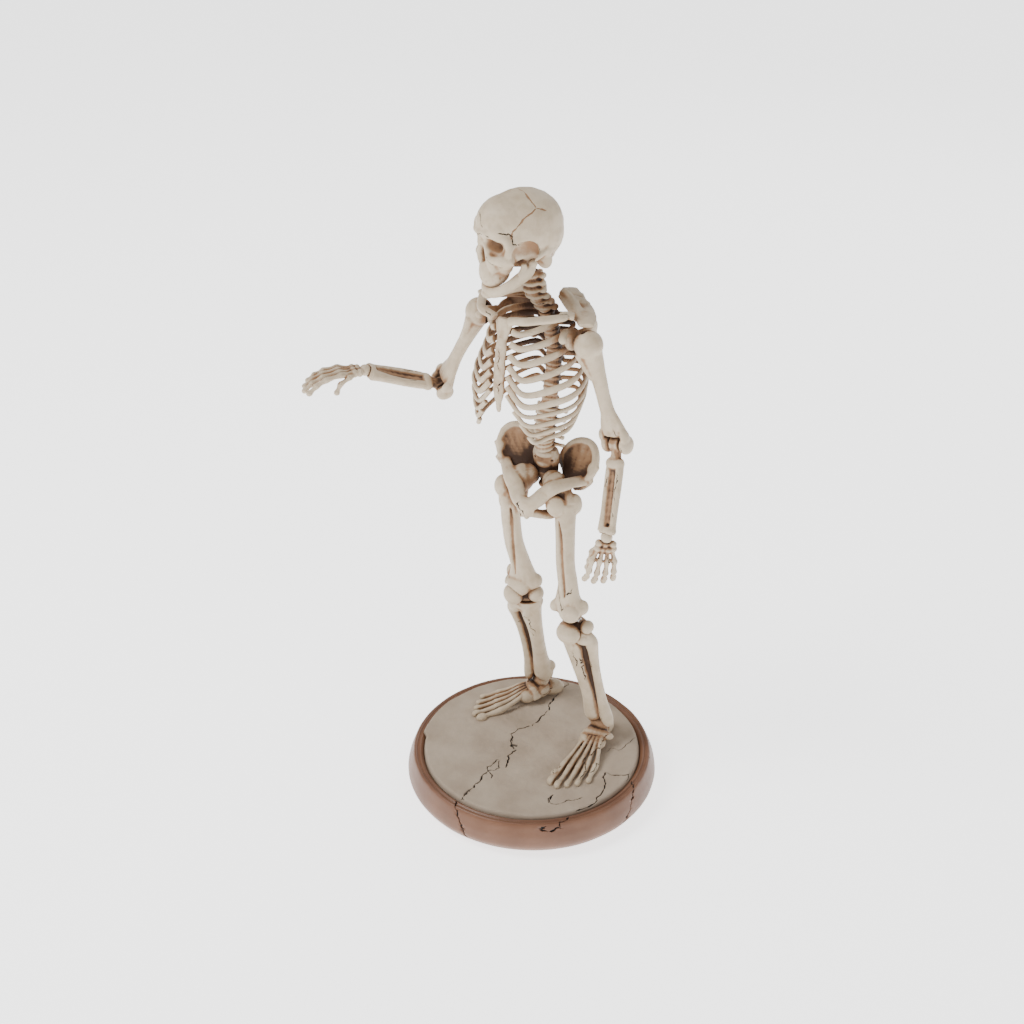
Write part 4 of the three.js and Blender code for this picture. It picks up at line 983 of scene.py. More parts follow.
def vertebrae(bottom, top, count, radius, reach, spinous):
    pitch = (top - bottom) / count

    def draw(bm):
        for i in range(count):
            z = bottom + i * pitch
            rows = []
            for share, swell in ((0.04, 0.94), (0.2, 1.05), (0.5, 0.9), (0.8, 1.04), (0.95, 0.92)):
                rows.append((0, spine_y(z + share * pitch), z + share * pitch, radius * swell,
                    radius * swell))
            limb(bm, rows, up=(0, 1, 0), steps=2, sides=16)
            y = spine_y(z + pitch / 2)
            limb(bm, [(0, y + radius * 0.6, z + pitch * 0.6, pitch * 0.28, 1.5),
                (0, y + radius + spinous * 0.4, z + pitch * 0.45, pitch * 0.24, 1.0),
                      (0, y + radius * 0.6 + spinous + 0.4, z + pitch * 0.3, pitch * 0.25, 1.1)], steps=3,
                      sides=10)
            for side in (1, -1):
                limb(bm, [(side * radius * 0.4, y + radius * 0.6, z + pitch * 0.5, pitch * 0.3, 1.4),
                    (side * reach * 0.7, y + radius * 0.8, z + pitch * 0.52, pitch * 0.2, 1.0),
                          (side * reach, y + radius * 0.85, z + pitch * 0.55, pitch * 0.25, 1.2)],
                          steps=3, sides=10)
        limb(bm, [(0, spine_y(bottom + share * (top - bottom)) + 0.2, bottom + share * (top - bottom),
            radius * 0.7, radius * 0.7)
                  for share in (0.004, 0.25, 0.5, 0.75, 0.996)], up=(0, 1, 0), sides=14)
    return draw


# The spine's pieces are browner all over: painted shade inside the chest, on top of the wash.
lumbar = cast(trunk_place, vertebrae(170.3, 190, 5, 4.4, 8.2, 4), voxel=0.32, relax=3)
bone("lumbar_bone", lumbar, "stand", ["lumbar_spine"], 0.3)
thoracic = cast(trunk_place, vertebrae(190.3, 236, 10, 3.5, 3.2, 3.4), voxel=0.32, relax=4)
bone("thoracic_bone", thoracic, "stand", ["thoracic_spine"], 0.5)


def neck_bore(bm):
    limb(bm, [(0, 8, 247.6, 1.5, 1.5), (0, 8, 262, 1.5, 1.5)], up=(0, 1, 0))


def neck_bones(bm):
    pitch = 19.2 / 6
    for i in range(6):
        z = 236.3 + (i + 0.5) * pitch
        y = spine_y(z)
        lump(bm, (0.2 * sin(i * 2), y - 0.2, z), (4.7 - 0.1 * i, 4.2, pitch * 0.5),
            (8, 0, 5 * sin(i * 1.7)))
        lump(bm, (0, y + 4.6, z - 0.4), (1.3, 2.4, pitch * 0.34))
        for side in (1, -1):
            lump(bm, (side * 4.2, y + 1.6, z - 0.2), (1.7, 2.1, pitch * 0.42), (0, side * 20, 0))
    limb(bm, [(0, spine_y(z), z, 3.1, 3.3) for z in (236.5, 241, 246, 251, 255.3)], up=(0, 1, 0),
        sides=14)


cervical = cast(trunk_place, neck_bones, neck_bore, voxel=0.32, relax=3)
crack_bone(cervical, Matrix.Translation((body_x * MM, 8 * MM, 0)), [
    [(1.5, -1, 239), (3.6, -0.6, 239.6), (4.6, 1, 239)], [(5.4, 3, 240), (5, 1.4, 241), (3.6, -1, 240.4)],
], 0.22, 0.6, 75)
bone("cervical_bone", cervical, "stand", ["cervical_spine"], 0.16)

# ---- Ribs and sternum ----
# Ten ribs a side, each a separate flattened casting. They are glued to the spine behind and to
# the edge of the sternum in front, and the last three end short of it.

RIB_REACH = (0.5, 0.62, 0.71, 0.83, 0.94, 1, 1, 0.97, 0.91, 0.84)
RIB_BACK = (2.4, 6, 9.8, 13.6, 17.4, 21.2, 25, 28.8, 32.6, 36.4)
RIB_SIDE = (1, 6, 11.4, 17, 22.8, 28.4, 33.2, 37.8, 42.2, 46.4)
RIB_BEND = (2.4, 8.2, 14.6, 21, 27, 32, 36.4, 40.6, 44.8, 48.8)
RIB_END = (4, 9, 13.8, 18.4, 22.8, 27, 31, 37.6, 43, 48.4)
RIB_SHORT = (0, 0, 0, 0, 0, 0, 0, 3.2, 6.2, 9.2)


def sternum_y(fall):
    return CHEST_Y - CHEST_DEEP + 4.2 * (1 - fall / STERNUM_LENGTH) ** 2


def rib(side, i):
    reach = CHEST_HALF * RIB_REACH[i]
    deep = CHEST_DEEP * (0.62 + 0.38 * RIB_REACH[i] ** 0.5)
    rib_top = CHEST_TOP - 2.5
    back = spine_y(rib_top - RIB_BACK[i])
    gap = 4.5
    end_x = 4.3 + RIB_SHORT[i]
    end_y = sternum_y(min(RIB_END[i], STERNUM_LENGTH)) + 0.12 * RIB_SHORT[i] ** 1.5
    tall = 1.5 if i < 6 else 1.05
    sway = 0.12 * sin(i * 2.3 + side)

    def draw(bm):
        limb(bm, [
            (side * gap, back + 0.5, rib_top - RIB_BACK[i], tall * 0.95, 1.2),
            (side * (gap + reach * 0.34), min(back + 3.6, CHEST_Y + deep), rib_top - RIB_BACK[i] - 0.4,
            tall * 0.85, 1.05),
            (side * reach * 0.86, CHEST_Y + deep * 0.5, rib_top - (RIB_BACK[i] + RIB_SIDE[i]) / 2,
            tall * 0.95 + sway, 0.9),
            (side * reach, CHEST_Y - deep * 0.05, rib_top - RIB_SIDE[i], tall * 1.05, 0.85),
            (side * reach * 0.86, CHEST_Y - deep * 0.56, rib_top - (RIB_SIDE[i] + RIB_BEND[i]) / 2,
            tall * 1.08 - sway, 0.9),
            (side * (end_x + (reach * 0.86 - end_x) * 0.45), end_y + 1.6, rib_top - RIB_BEND[i],
            tall * 0.95, 1.0),
            (side * end_x, end_y, CHEST_TOP - RIB_END[i], tall * 1.05, 1.15),
        ], steps=8, sides=12)
    return draw


for side, name in ((1, "left"), (-1, "right")):
    for i in range(len(RIB_REACH)):
        rib_mesh = cast(trunk_place, rib(side, i), voxel=0.3, relax=3, ripple=0.22)
        bone(f"{name}_rib_bone_{i + 1:02d}", rib_mesh, "stand", [f"{name}_rib_{i + 1:02d}"], 0.02,
            inside=0.75)


def sternum(bm):
    rows = []
    for fall, half, thick in ((-0.6, 3.2, 1.3), (1, 4.3, 1.6), (3.2, 3.9, 1.5), (7, 2.7, 1.25),
        (8.4, 2.4, 1.5), (12, 3.0, 1.2), (16, 2.7, 1.2),
                              (20.6, 3.1, 1.25), (25, 2.8, 1.2), (29, 3.1, 1.2), (33, 2.3, 1.2),
                              (35.4, 1.5, 0.9), (38.6, 1.3, 0.7), (40, 0.6, 0.4)):
        rows.append((0, sternum_y(min(max(fall, 0), STERNUM_LENGTH)), CHEST_TOP - fall, thick, half))
    limb(bm, rows, up=(0, -1, 0), steps=3, sides=18)


sternum_mesh = cast(trunk_place, sternum, voxel=0.3, relax=3)
crack_bone(sternum_mesh, trunk_place, [
    [(-1, -14, 227), (0.4, -15, 224), (-0.8, -15, 221), (1.4, -15, 218.6)],
    [(2.4, -15, 213), (0.4, -15, 211.4), (0.8, -15, 208)],
], 0.2, 0.5, 77)
bone("sternum_bone", sternum_mesh, "stand", ["sternum"], 0.02, inside=0.6)

# ---- Collarbones and shoulder blades ----
# Each collarbone is a bowed rod glued to the sternum and to the roof of the shoulder. The blade
# is a thin plate with a ridge behind that ends in that roof, and a hook in front.

SHOULDER_Y, BALL = 8.0, 6.2
BLADE_TURN, BLADE_LEAN = 34, 14
joint_at = {joint["name"]: Vector(joint["pos_m"]) for joint in frame["joints"]}
shoulder_x = joint_at["left_shoulder_swing"].x / MM - body_x
shoulder_z = joint_at["left_shoulder_swing"].z / MM
roof = shoulder_z + BALL + 2
blade_turn = (Matrix.Rotation(radians(-BLADE_TURN), 3, "Z") @ Matrix.Rotation(radians(BLADE_LEAN), 3, "X")
              @ Matrix.Rotation(radians(90), 3, "X"))


def on_blade(side, along, rise, out=0.0):
    """A point of a shoulder blade: how far outwards, how high and how far behind its plate."""
    spot = blade_turn @ Vector((along, rise, 0.9 - out)) + Vector((shoulder_x - 19, SHOULDER_Y + 22.5,
        shoulder_z + 1))
    return Vector((side * spot.x, spot.y, spot.z))


for side, name in ((1, "left"), (-1, "right")):
    socket_x = side * (shoulder_x - BALL - 2.5)

    def collarbone(bm):
        limb(bm, [
            (side * 4.2, CHEST_Y - CHEST_DEEP + 2.4, CHEST_TOP + 0.5, 2.0, 2.3),
            (side * 6.4, CHEST_Y - CHEST_DEEP + 2.6, CHEST_TOP + 1.3, 1.7, 2.0),
            (side * shoulder_x * 0.42, CHEST_Y - CHEST_DEEP + 4.0, CHEST_TOP + 2.2, 1.75, 1.9),
            (side * shoulder_x * 0.7, SHOULDER_Y - 7.2, CHEST_TOP + 2.6, 1.6, 2.0),
            (side * (shoulder_x - 10), SHOULDER_Y - 3.4, CHEST_TOP + 2.4, 1.6, 2.2),
            (side * (shoulder_x - 7), SHOULDER_Y - 0.8, roof + 2.6, 1.5, 2.6),
        ], steps=6)

    collar_mesh = cast(trunk_place, collarbone, voxel=0.32, relax=6)
    if side > 0:
        crack_bone(collar_mesh, trunk_place, [[(19.6, 0, 243.4), (21.6, 2, 243.8), (22, 4, 243),
            (23, 3, 242)]], 0.26, 0.6, 81)
    else:
        crack_bone(collar_mesh, trunk_place, [[(-8, -13, 242), (-6, -14, 242), (-4.4, -14, 241)]], 0.26,
            0.6, 82)
    bone(f"{name}_collarbone", collar_mesh, "stand", [f"{name}_clavicle"])

    def blade(bm):
        face = on_blade(side, 5, 0, 1) - on_blade(side, 5, 0)
        hub = on_blade(side, 14, 3)
        edge = ((0.6, 11.4), (1.6, 0), (3.6, -13), (6, -15.8), (8.4, -12.4), (12, -5), (14.6, 1),
            (13, 8.4), (6, 11.8))
        for along, rise in edge:
            tip = on_blade(side, along, rise)
            limb(bm, [(*hub, 1.2, 3), (*((hub + tip) / 2 - face * 0.5), 0.75, 3.6), (*tip, 0.8, 2.6)],
                up=face, steps=4, sides=10)
        limb(bm, [(*on_blade(side, along, rise), 1.15, 1.2) for along, rise in (*edge, edge[0])], up=face,
            steps=4, sides=10)
        lump(bm, (socket_x, SHOULDER_Y + 0.5, shoulder_z), (3.0, 4.2, 4.8))
        limb(bm, [(socket_x, SHOULDER_Y + 2, shoulder_z, 3.2, 1.8),
            (side * (shoulder_x - 6.4), SHOULDER_Y + 9, shoulder_z + 1.5, 3, 1.5),
                  (side * (shoulder_x - 8.4), SHOULDER_Y + 15.5, shoulder_z + 2, 3, 1.4)])
        limb(bm, [(side * (shoulder_x - 18), SHOULDER_Y + 19.5, shoulder_z + 8, 1.1, 1.6),
            (side * (shoulder_x - 12), SHOULDER_Y + 13, shoulder_z + 9.4, 1.4, 3.4),
                  (side * (shoulder_x - 6.4), SHOULDER_Y + 6, shoulder_z + 9.2, 1.5, 4.6),
                  (side * (shoulder_x - 2.6), SHOULDER_Y + 1.6, shoulder_z + 8.8, 1.4, 4.2),
                  (side * (shoulder_x - 0.8), SHOULDER_Y - 1.0, shoulder_z + 8.3, 1.2, 3.2)], steps=5,
                  sides=18)
        hood = Vector((side * 0.4, -0.5, 0.8))
        for x, y, z in ((7.4, 19, 243.6), (9.6, 21.6, 240.2), (11.4, 24, 236.6)):
            limb(bm, [(side * 23, 11, 238.4, 1.1, 2.6),
                (side * (23 + x) / 2, (11 + y) / 2, (238.4 + z) / 2 + 0.8, 0.9, 3.4),
                (side * x, y, z, 0.9, 2.8)], up=hood, steps=5)
        for (x, y, z), (along, rise) in (((8.6, 18.6, 243.8), (3, 12)), ((11, 18.4, 243), (8, 11)),
            ((14, 17, 242), (12.6, 8.6))):
            top_edge = on_blade(side, along, rise)
            limb(bm, [(side * x, y, z, 1.3, 3.6),
                (*((Vector((side * x, y, z)) + top_edge) / 2), 1.4, 3.8), (*top_edge, 1.3, 3.4)], up=hood,
                steps=4)
        limb(bm, [(side * 6.2, 19, 243.4, 1.2, 1.2), (side * 8.6, 18.6, 244.8, 1.4, 1.3),
            (side * 13, 17.4, 243.2, 1.3, 1.3), (side * 18, 14, 240.8, 1.3, 1.5),
            (side * 23, 10.4, 239.2, 1.2, 1.6)], steps=5)
        limb(bm, [(side * (shoulder_x - 18), SHOULDER_Y + 20.5, shoulder_z + 5, 2.4, 0.8),
            (side * (shoulder_x - 9), SHOULDER_Y + 15, shoulder_z + 5.6, 3.2, 0.9)], steps=4)
        limb(bm, [(socket_x, SHOULDER_Y, shoulder_z + 3, 1.7, 1.7),
            (socket_x, SHOULDER_Y - 4.6, shoulder_z + 4.8, 1.4, 1.5),
                  (socket_x + side * 1.4, SHOULDER_Y - 7.6, shoulder_z + 3.2, 1.7, 1.8)])
        lump(bm, (socket_x + side * 1.6, SHOULDER_Y - 8, shoulder_z + 2.8), (1.9, 1.8, 1.9))

    def shoulder_room(bm):
        lump(bm, (side * shoulder_x, SHOULDER_Y, shoulder_z), [BALL + 0.35] * 3)
        limb(bm, [(side * (shoulder_x - 12), SHOULDER_Y, shoulder_z, 1.5, 1.5),
            (side * shoulder_x, SHOULDER_Y, shoulder_z, 1.5, 1.5)])

    blade_mesh = cast(trunk_place, blade, shoulder_room, voxel=0.34, relax=14)
    bone(f"{name}_shoulder_blade", blade_mesh, "stand", [f"{name}_scapula"], strength=0.55, inside=0.3)

# ---- Skull ----
# Cast resin, hollowed at the eyes, nose and temples, with a cheek arch on each side. It turns and
# nods on the ball of the steel pin that stands up out of the neck.

neck = joint_at["head_nod"]
HEAD_TURN, HEAD_NOD = -24, 8
head_place = Matrix.Translation(neck) @ Matrix.Rotation(radians(HEAD_TURN), 4,
    "Z") @ Matrix.Rotation(radians(HEAD_NOD), 4, "X")
RAMUS_X = 11.0


def skull(bm):
    lump(bm, (0, -3.4, 14.8), (14.4, 18.2, 16.0))
    lump(bm, (0, 1, 12.4), (13.4, 13.4, 13.2))
    lump(bm, (0, -9.6, 18.6), (12.4, 12.4, 11.4))
    lump(bm, (0, -12.4, 17.2), (11.2, 9.6, 8.6))
    lump(bm, (0, 2, 2.6), (8, 8, 4.4))
    lump(bm, (0, 5.4, 0.8), (5, 2.6, 2.0))
    lump(bm, (0, -13, 8), (7.6, 8, 8))
    limb(bm, [(0, -15.6, 8, 5, 5.4), (0, -16.8, 4, 6.0, 6.0), (0, -17.2, 1.4, 6.6, 6.4),
        (0, -17.2, -1.4, 6.6, 6.4), (0, -16.2, -4.0, 5.2, 5.4)], up=(0, 1, 0), sides=20)
    limb(bm, [(0, -20.6, 18.4, 2.2, 3.0), (0, -21.2, 15.6, 1.6, 1.7), (0, -22.2, 12.8, 1.3, 1.3)],
        up=(0, -1, 0))
    for side in (1, -1):
        limb(bm, [(side * 1.2, -19.8, 18.0, 2.4, 2.4), (side * 4.6, -19.6, 17.8, 2.2, 2.5),
            (side * 7.8, -17.2, 17.4, 2.1, 2.5),
                  (side * 10.2, -14.8, 15.6, 1.9, 2.4), (side * 11.2, -14.4, 12.6, 1.7, 2.3),
                  (side * 11.0, -15.0, 9.2, 2.0, 2.2)], up=(0, 0, 1), steps=5)
        lump(bm, (side * 5.4, -15.8, 18.2), (5.6, 5.2, 5.4))
        lump(bm, (side * 7.2, -15.4, 6.6), (4.2, 4.2, 4.4))
        limb(bm, [(side * 2.7, -20.8, 14.4, 1.2, 1.3), (side * 3.3, -20.6, 10.4, 1.4, 1.4),
            (side * 4.2, -20.0, 6.4, 2.4, 2.0), (side * 4.8, -18.8, 2, 2.6, 2.4)], up=(0, -1, 0))
        limb(bm, [(side * 3.2, -20.8, 8.8, 1.2, 1.4), (side * 6.4, -20.2, 7.6, 1.5, 1.7),
            (side * 9.6, -17.8, 7.2, 2.2, 1.9), (side * 11.8, -14.6, 6.8, 2.0, 1.5),
                  (side * 13.7, -10.2, 6.2, 1.45, 1.0), (side * 14.1, -5.6, 6.2, 1.35, 0.95),
                  (side * 13.4, -2.2, 6.7, 1.35, 1.0), (side * 11.8, 0.4, 7.4, 1.5, 1.4)], up=(0, 0, 1),
                  steps=5)
        limb(bm, [(side * 9.4, -16.6, 6.4, 2.4, 1.8), (side * 7.0, -15.8, 3.2, 3, 1.8),
            (side * 5.6, -14, 1, 3, 2)], up=(0, -1, 0))
        lump(bm, (side * 8.8, 1.0, 3.0), (3.1, 3.4, 4.8), (14, 0, 0))
        lump(bm, (side * 10.6, 1.4, 7), (2.4, 3.2, 3))


def skull_hollows(bm):
    lump(bm, (0, 0, 0), (2.7, 2.7, 2.7))
    limb(bm, [(0, 0, -8, 2.7, 2.7), (0, 0, 0, 2.7, 2.7)], up=(0, 1, 0))
    limb(bm, [(0, -24.4, 11.6, 2.6, 0.8), (0, -24, 9.8, 3.2, 1.6), (0, -23.4, 7.4, 3.6, 2.4),
        (0, -23.4, 6.0, 3.2, 2.0)], up=(0, -1, 0))
    lump(bm, (0, -20, 8.2), (2.4, 5, 3.2))
    for side in (1, -1):
        lump(bm, (side * 7.2, -22.4, 13.3), (4.3, 5.2, 3.6), (0, side * 24, 0))
        lump(bm, (side * 6.9, -19.4, 13.0), (3.6, 4.6, 3.1), (0, side * 24, side * 10))
        lump(bm, (side * 13.0, -8.8, 8.8), (2.9, 6.6, 5.4), (10, 0, side * 6))
        lump(bm, (side * 11.9, -8.4, 4.6), (1.9, 6.0, 3.4))
        lump(bm, (side * 11.2, -5.8, -1.2), (2.9, 6.4, 6.4))
        lump(bm, (side * 9.0, -9.6, 0.4), (3.0, 3.6, 5.4))
    for k in range(9):
        angle = k * 0.5 - 2
        lump(bm, (6.2 * sin(angle), -17.4 - 6.4 * cos(angle), -1.6 + 0.5 * sin(k * 2.1)), (0.5, 0.6, 0.9))
        lump(bm, (6.2 * sin(angle + 0.3), -17.0 - 6.4 * cos(angle + 0.3), 1.2 + sin(k * 1.7)),
            (0.4, 0.5, 0.5))
    limb(bm, [(-6.2, -20.4, -3.0, 0.35, 0.35), (-4.6, -22.0, -2.9, 0.4, 0.4), (0, -23.4, -2.9, 0.35, 0.4),
        (4.6, -22.0, -3.0, 0.4, 0.4), (6.6, -18, -2.8, 0.45, 0.4)])


skull_mesh = cast(head_place, skull, skull_hollows, voxel=0.38, relax=12, ripple=0.1)
SUTURES = [
    [(-2.7, -2.3, 31), (1.6, -2.2, 30.8), (6.4, -1.7, 29), (9.4, -0.9, 26.6), (10.9, -0.6, 25.2)],
    [(10.9, -0.6, 25.2), (12.0, -5.2, 23.6), (12.4, -9.2, 21.2), (12.0, -12.4, 19.0),
    (11.8, -13.6, 16.2)],
    [(10.9, -0.6, 25.2), (11.6, 2.2, 24.6), (12, 4, 23.4)],
]
groove_suture(skull_mesh, head_place, SUTURES, 0.3, 0.22)
SKULL_CRACKS = [
    [(-6.9, -15.6, 26), (-6.4, -17, 23.6), (-3.4, -18, 23.4), (1.2, -19.6, 22.2), (3.0, -20.4, 20.4)],
    [(8.4, -17.6, 18.8), (10.4, -15.6, 18.4), (11.8, -13.6, 17.4), (12.0, -13.4, 14.0),
    (12.8, -11.8, 12.2), (13.6, -7.6, 11.8), (13.6, -4.2, 10.4), (13.2, -3.4, 8.8)],
    [(-1, -21, 17.4), (1.5, -21.8, 17.9), (3.6, -22, 18)], [(5.4, -21.5, 18.4), (7, -20.6, 17.4)],
    [(3.6, -21.6, 8.4), (5.4, -21.2, 7.2), (7.4, -19.8, 5.8), (9.6, -17.6, 5.0)],
    [(-4.6, -22, 1.6), (-3.6, -22.6, 0.4)],
]
crack_bone(skull_mesh, head_place, SKULL_CRACKS, 0.17, 0.5, 91)
bone("skull_bone", skull_mesh, "head", ["skull"], strength=0.62)

# ---- Jaw ----
# One toothless casting, a broad horseshoe with a flat branch up to the hinge on each side. It
# opens about the line through the two knuckles, which sit in hollows under the skull.


def jaw_bone(bm):
    limb(bm, [
        (-RAMUS_X + 1.0, -10.6, -1.8, 2.7, 1.5), (-8.6, -15.8, -4.6, 2.4, 1.6),
        (-5.2, -20.0, -6.9, 2.4, 1.7), (0, -21.8, -7.6, 2.7, 1.8),
        (5.2, -20.0, -6.9, 2.4, 1.7), (8.6, -15.8, -4.6, 2.4, 1.6),
        (RAMUS_X - 1.0, -10.6, -1.8, 2.7, 1.5),
    ], up=(0, -0.3, 1), steps=8, sides=16)
    lump(bm, (0, -22.4, -8.6), (3.4, 1.9, 1.8))
    for side in (1, -1):
        limb(bm, [(side * RAMUS_X, -5, 3.8, 1.8, 1.2), (side * RAMUS_X, -5.6, 2.2, 1.9, 1.1),
            (side * RAMUS_X, -6.8, 0.6, 2.5, 1.15),
                  (side * (RAMUS_X - 0.3), -8.8, -1.0, 3.2, 1.3),
                  (side * (RAMUS_X - 1), -11.0, -2.8, 2.4, 1.4)], up=(0, -1, 0), steps=5)
        limb(bm, [(side * RAMUS_X, -9.2, 4.2, 1.0, 0.8), (side * RAMUS_X, -9.4, 1.8, 1.7, 1.0),
            (side * (RAMUS_X - 0.4), -10.6, -0.6, 2, 1.3)], up=(0, -1, 0), steps=4)
        lump(bm, (side * RAMUS_X, -5, 3), (1.7, 1.8, 1.8))


jaw_mesh = cast(head_place, jaw_bone, voxel=0.32, relax=7)
bone("jaw_bone", jaw_mesh, "jaw", ["mandible"])

# ---- Upper arms ----
# One casting each: the round head that swallows the steel ball of the shoulder pin, a twisted
# shaft, and a forked end whose two cheeks hold the elbow's pin.

arms = {}

for side, name in ((1, "left"), (-1, "right")):
    shoulder = joint_at[f"{name}_shoulder_swing"]
    elbow = joint_at[f"{name}_elbow_bend"]
    wrist = joint_at[f"{name}_wrist_bend"]
    hinge = (wrist - elbow).cross(elbow - shoulder)
    arms[name] = (shoulder, elbow, wrist, hinge)
    place = bone_frame(shoulder, elbow, hinge)
    low_end = -(shoulder - elbow).length / MM
    inward = place.to_3x3().inverted() @ Vector((-side, 0, 0))
    slot_turn = Matrix.Rotation(atan2(inward.y, inward.x), 3, "Z")

    def upper_arm(bm):
        lump(bm, (0, 0, 0), (BALL, BALL, BALL))
        limb(bm, [(0, 0, -3, 5.0, 5.0), (0.3, 0, -9, 3.9, 4.2), (0.4, 0, -15, 3.1, 3.5),
            (0, 0, -23, 2.8, 3.1), (-0.2, 0, -30, 2.9, 3.2),
                  (0, 0, low_end + 11, 3.0, 4.4), (0, 0, low_end + 6.4, 3.1, 5.9),
                  (0, 0, low_end + 4.6, 2.8, 5.4)], up=(0, 1, 0), sides=18)
        limb(bm, [(-side * 2.6, -4.2, -2, 2, 1.8), (-side * 2.2, -3.4, -8, 1.5, 1.4),
            (-side * 1.4, -2.4, -15, 1, 0.9)], up=(0, -1, 0))
        for end in (1, -1):
            lump(bm, (end * 4.9, 0, low_end), (2.5, 4.1, 4.3))
            lump(bm, (end * 5.8, -0.6, low_end + 4.2), (1.7, 2.6, 3.4))
            limb(bm, [(end * 5.6, 0, low_end + 4, 2.2, 1.2), (end * 4.4, 0, low_end + 10, 1.6, 1.0),
                (end * 2.4, 0, low_end + 17, 1.2, 0.8)], up=(0, 1, 0))

    def arm_hollows(bm):
        lump(bm, (0, 0, 0), (2.75, 2.75, 2.75))
        rows = [(slot_turn @ Vector((x, 0, 2.9)), 5.3, 1.8) for x in (-0.4, 4, 8.6)]
        limb(bm, [(*p, tall, wide) for p, tall, wide in rows], up=(0, 0, 1), steps=2, sides=12)
        limb(bm, [(0, 0, low_end - 8, 6, 2.6), (0, 0, low_end - 2, 6, 2.6),
            (0, 0, low_end + 3.9, 5, 2.6)], up=(0, 1, 0), steps=2, sides=12)
        limb(bm, [(-6.4, 0, low_end, 1.5, 1.5), (6.4, 0, low_end, 1.5, 1.5)])
        limb(bm, [(1.7, -5.2, -9, 1.6, 0.35), (1.5, -4.6, -16, 1.9, 0.6), (1.3, -4.4, -26, 1.9, 0.5),
            (1.6, -4.6, low_end + 10, 1.6, 0.4)], up=(0, -1, 0), sides=8)
        limb(bm, [(0, 4.4, -12, 1.5, 0.3), (0.6, 4.2, -24, 1.6, 0.6), (0, 4.4, low_end + 10, 1.6, 0.5)],
            up=(0, 1, 0), sides=8)

    arm_mesh = cast(place, upper_arm, arm_hollows, relax=6)
    if side > 0:
        ways = [[(2.6, -4, low_end + 9), (3.4, -4, low_end + 6), (5.2, -4, low_end + 4)],
            [(5, -5, low_end + 1), (5.4, -5, low_end - 2)]]
    else:
        ways = [[(-2, -4, -10), (-1.4, -4, -13), (-2.2, -4, -17)],
            [(5, -4, low_end + 2), (4, -4, low_end + 5)]]
    crack_bone(arm_mesh, place, ways, 0.18, 0.5, 101)
    bone(f"{name}_upper_arm_bone", arm_mesh, f"{name}_upper_arm", [f"{name}_humerus"], 0.02)

# ---- Forearms and wrist balls ----
# Radius and ulna are cast together with a slit between them. The top is a tongue that fits the
# fork of the upper arm, and the lower end is hollowed for the wrist's ball, which is glued in.

for side, name in ((1, "left"), (-1, "right")):
    shoulder, elbow, wrist, hinge = arms[name]
    place = bone_frame(elbow, wrist, hinge)
    low_end = -(elbow - wrist).length / MM

    def lower_arm(bm):
        limb(bm, [(-2.2, 0, 0, 3.6, 3.6), (2.2, 0, 0, 3.6, 3.6)], up=(0, 0, 1), sides=20)
        limb(bm, [(0, 0, -1, 2.8, 2.2), (0, 0, -5, 2.5, 2.2), (0, 0, -8, 2.6, 3.4)], up=(0, 1, 0))
        lump(bm, (0, 0, -8.4), (4.7, 3.0, 3.0))
        limb(bm, [(-side * 1.5, 0, -6.4, 2.0, 1.9), (-side * 2.5, 0.2, -12, 2.0, 1.9),
            (-side * 2.8, 0.3, -20, 1.9, 1.8), (-side * 2.6, 0.2, -28, 2.0, 1.9),
                  (-side * 2.2, 0, low_end + 5.4, 2.4, 2.5), (-side * 2.0, 0, low_end + 2.6, 2.6, 3.0)],
                  up=(0, 1, 0))
        limb(bm, [(side * 2.2, 0, -6.6, 1.9, 1.8), (side * 3.0, -0.1, -12, 1.9, 1.7),
            (side * 3.1, -0.2, -20, 1.7, 1.6), (side * 2.9, -0.2, -28, 1.6, 1.5),
                  (side * 2.6, 0, low_end + 5, 1.6, 1.5), (side * 2.7, 0, low_end + 2.4, 1.9, 1.8)],
                  up=(0, 1, 0))
        limb(bm, [(0, 0.2, -9, 1.4, 3), (0, 0.2, -20, 0.8, 2.9), (0, 0.2, low_end + 6, 1.4, 2.8)],
            up=(0, 1, 0), sides=8)
        limb(bm, [(0, 0, low_end + 4.6, 2.4, 4.0), (0, 0, low_end + 2.6, 2.7, 4.3),
            (0, 0, low_end + 1.2, 2.3, 3.8)], up=(0, 1, 0), sides=16)

    def arm_slit(bm):
        limb(bm, [(-4, 0, 0, 1.5, 1.5), (4, 0, 0, 1.5, 1.5)])
        lump(bm, (0, 0, low_end), (2.95, 2.95, 2.95))
        limb(bm, [(-side * 0.2, -3, -10.4, 2.2, 0.3), (side * 0.2, -3, -14, 2.5, 0.5),
            (side * 0.3, -3, -24, 2.6, 0.6), (side * 0.4, -3, low_end + 6, 2.0, 0.3)], up=(0, -1, 0),
            sides=8)
        limb(bm, [(0, 3, -11, 2.0, 0.3), (side * 0.2, 3, -20, 2.5, 0.55),
            (side * 0.4, 3, low_end + 6, 2.0, 0.3)], up=(0, 1, 0), sides=8)

    fore_mesh = cast(place, lower_arm, arm_slit, voxel=0.32, relax=5)
    ways = [[(side * 3, -2, -12), (side * 3.4, -2, -15), (side * 2.8, -2, -19), (side * 3.6, -2, -24)],
        [(-side * 2, -3, -15), (-side * 2.6, -3, -19)],
            [(side * 2.6, -2, -27), (side * 3.2, -2, -31)]]
    crack_bone(fore_mesh, place, ways, 0.17, 0.45, 111)
    bone(f"{name}_forearm_bone", fore_mesh, f"{name}_lower_arm", [f"{name}_forearm"], 0.04)

    def wrist_ball(bm):
        lump(bm, (0, 0, low_end), (2.6, 2.6, 2.6))

    bone(f"{name}_wrist_ball_bone", cast(place, wrist_ball, voxel=0.3, relax=1, ripple=0),
        f"{name}_lower_arm", [f"{name}_wrist_ball"])

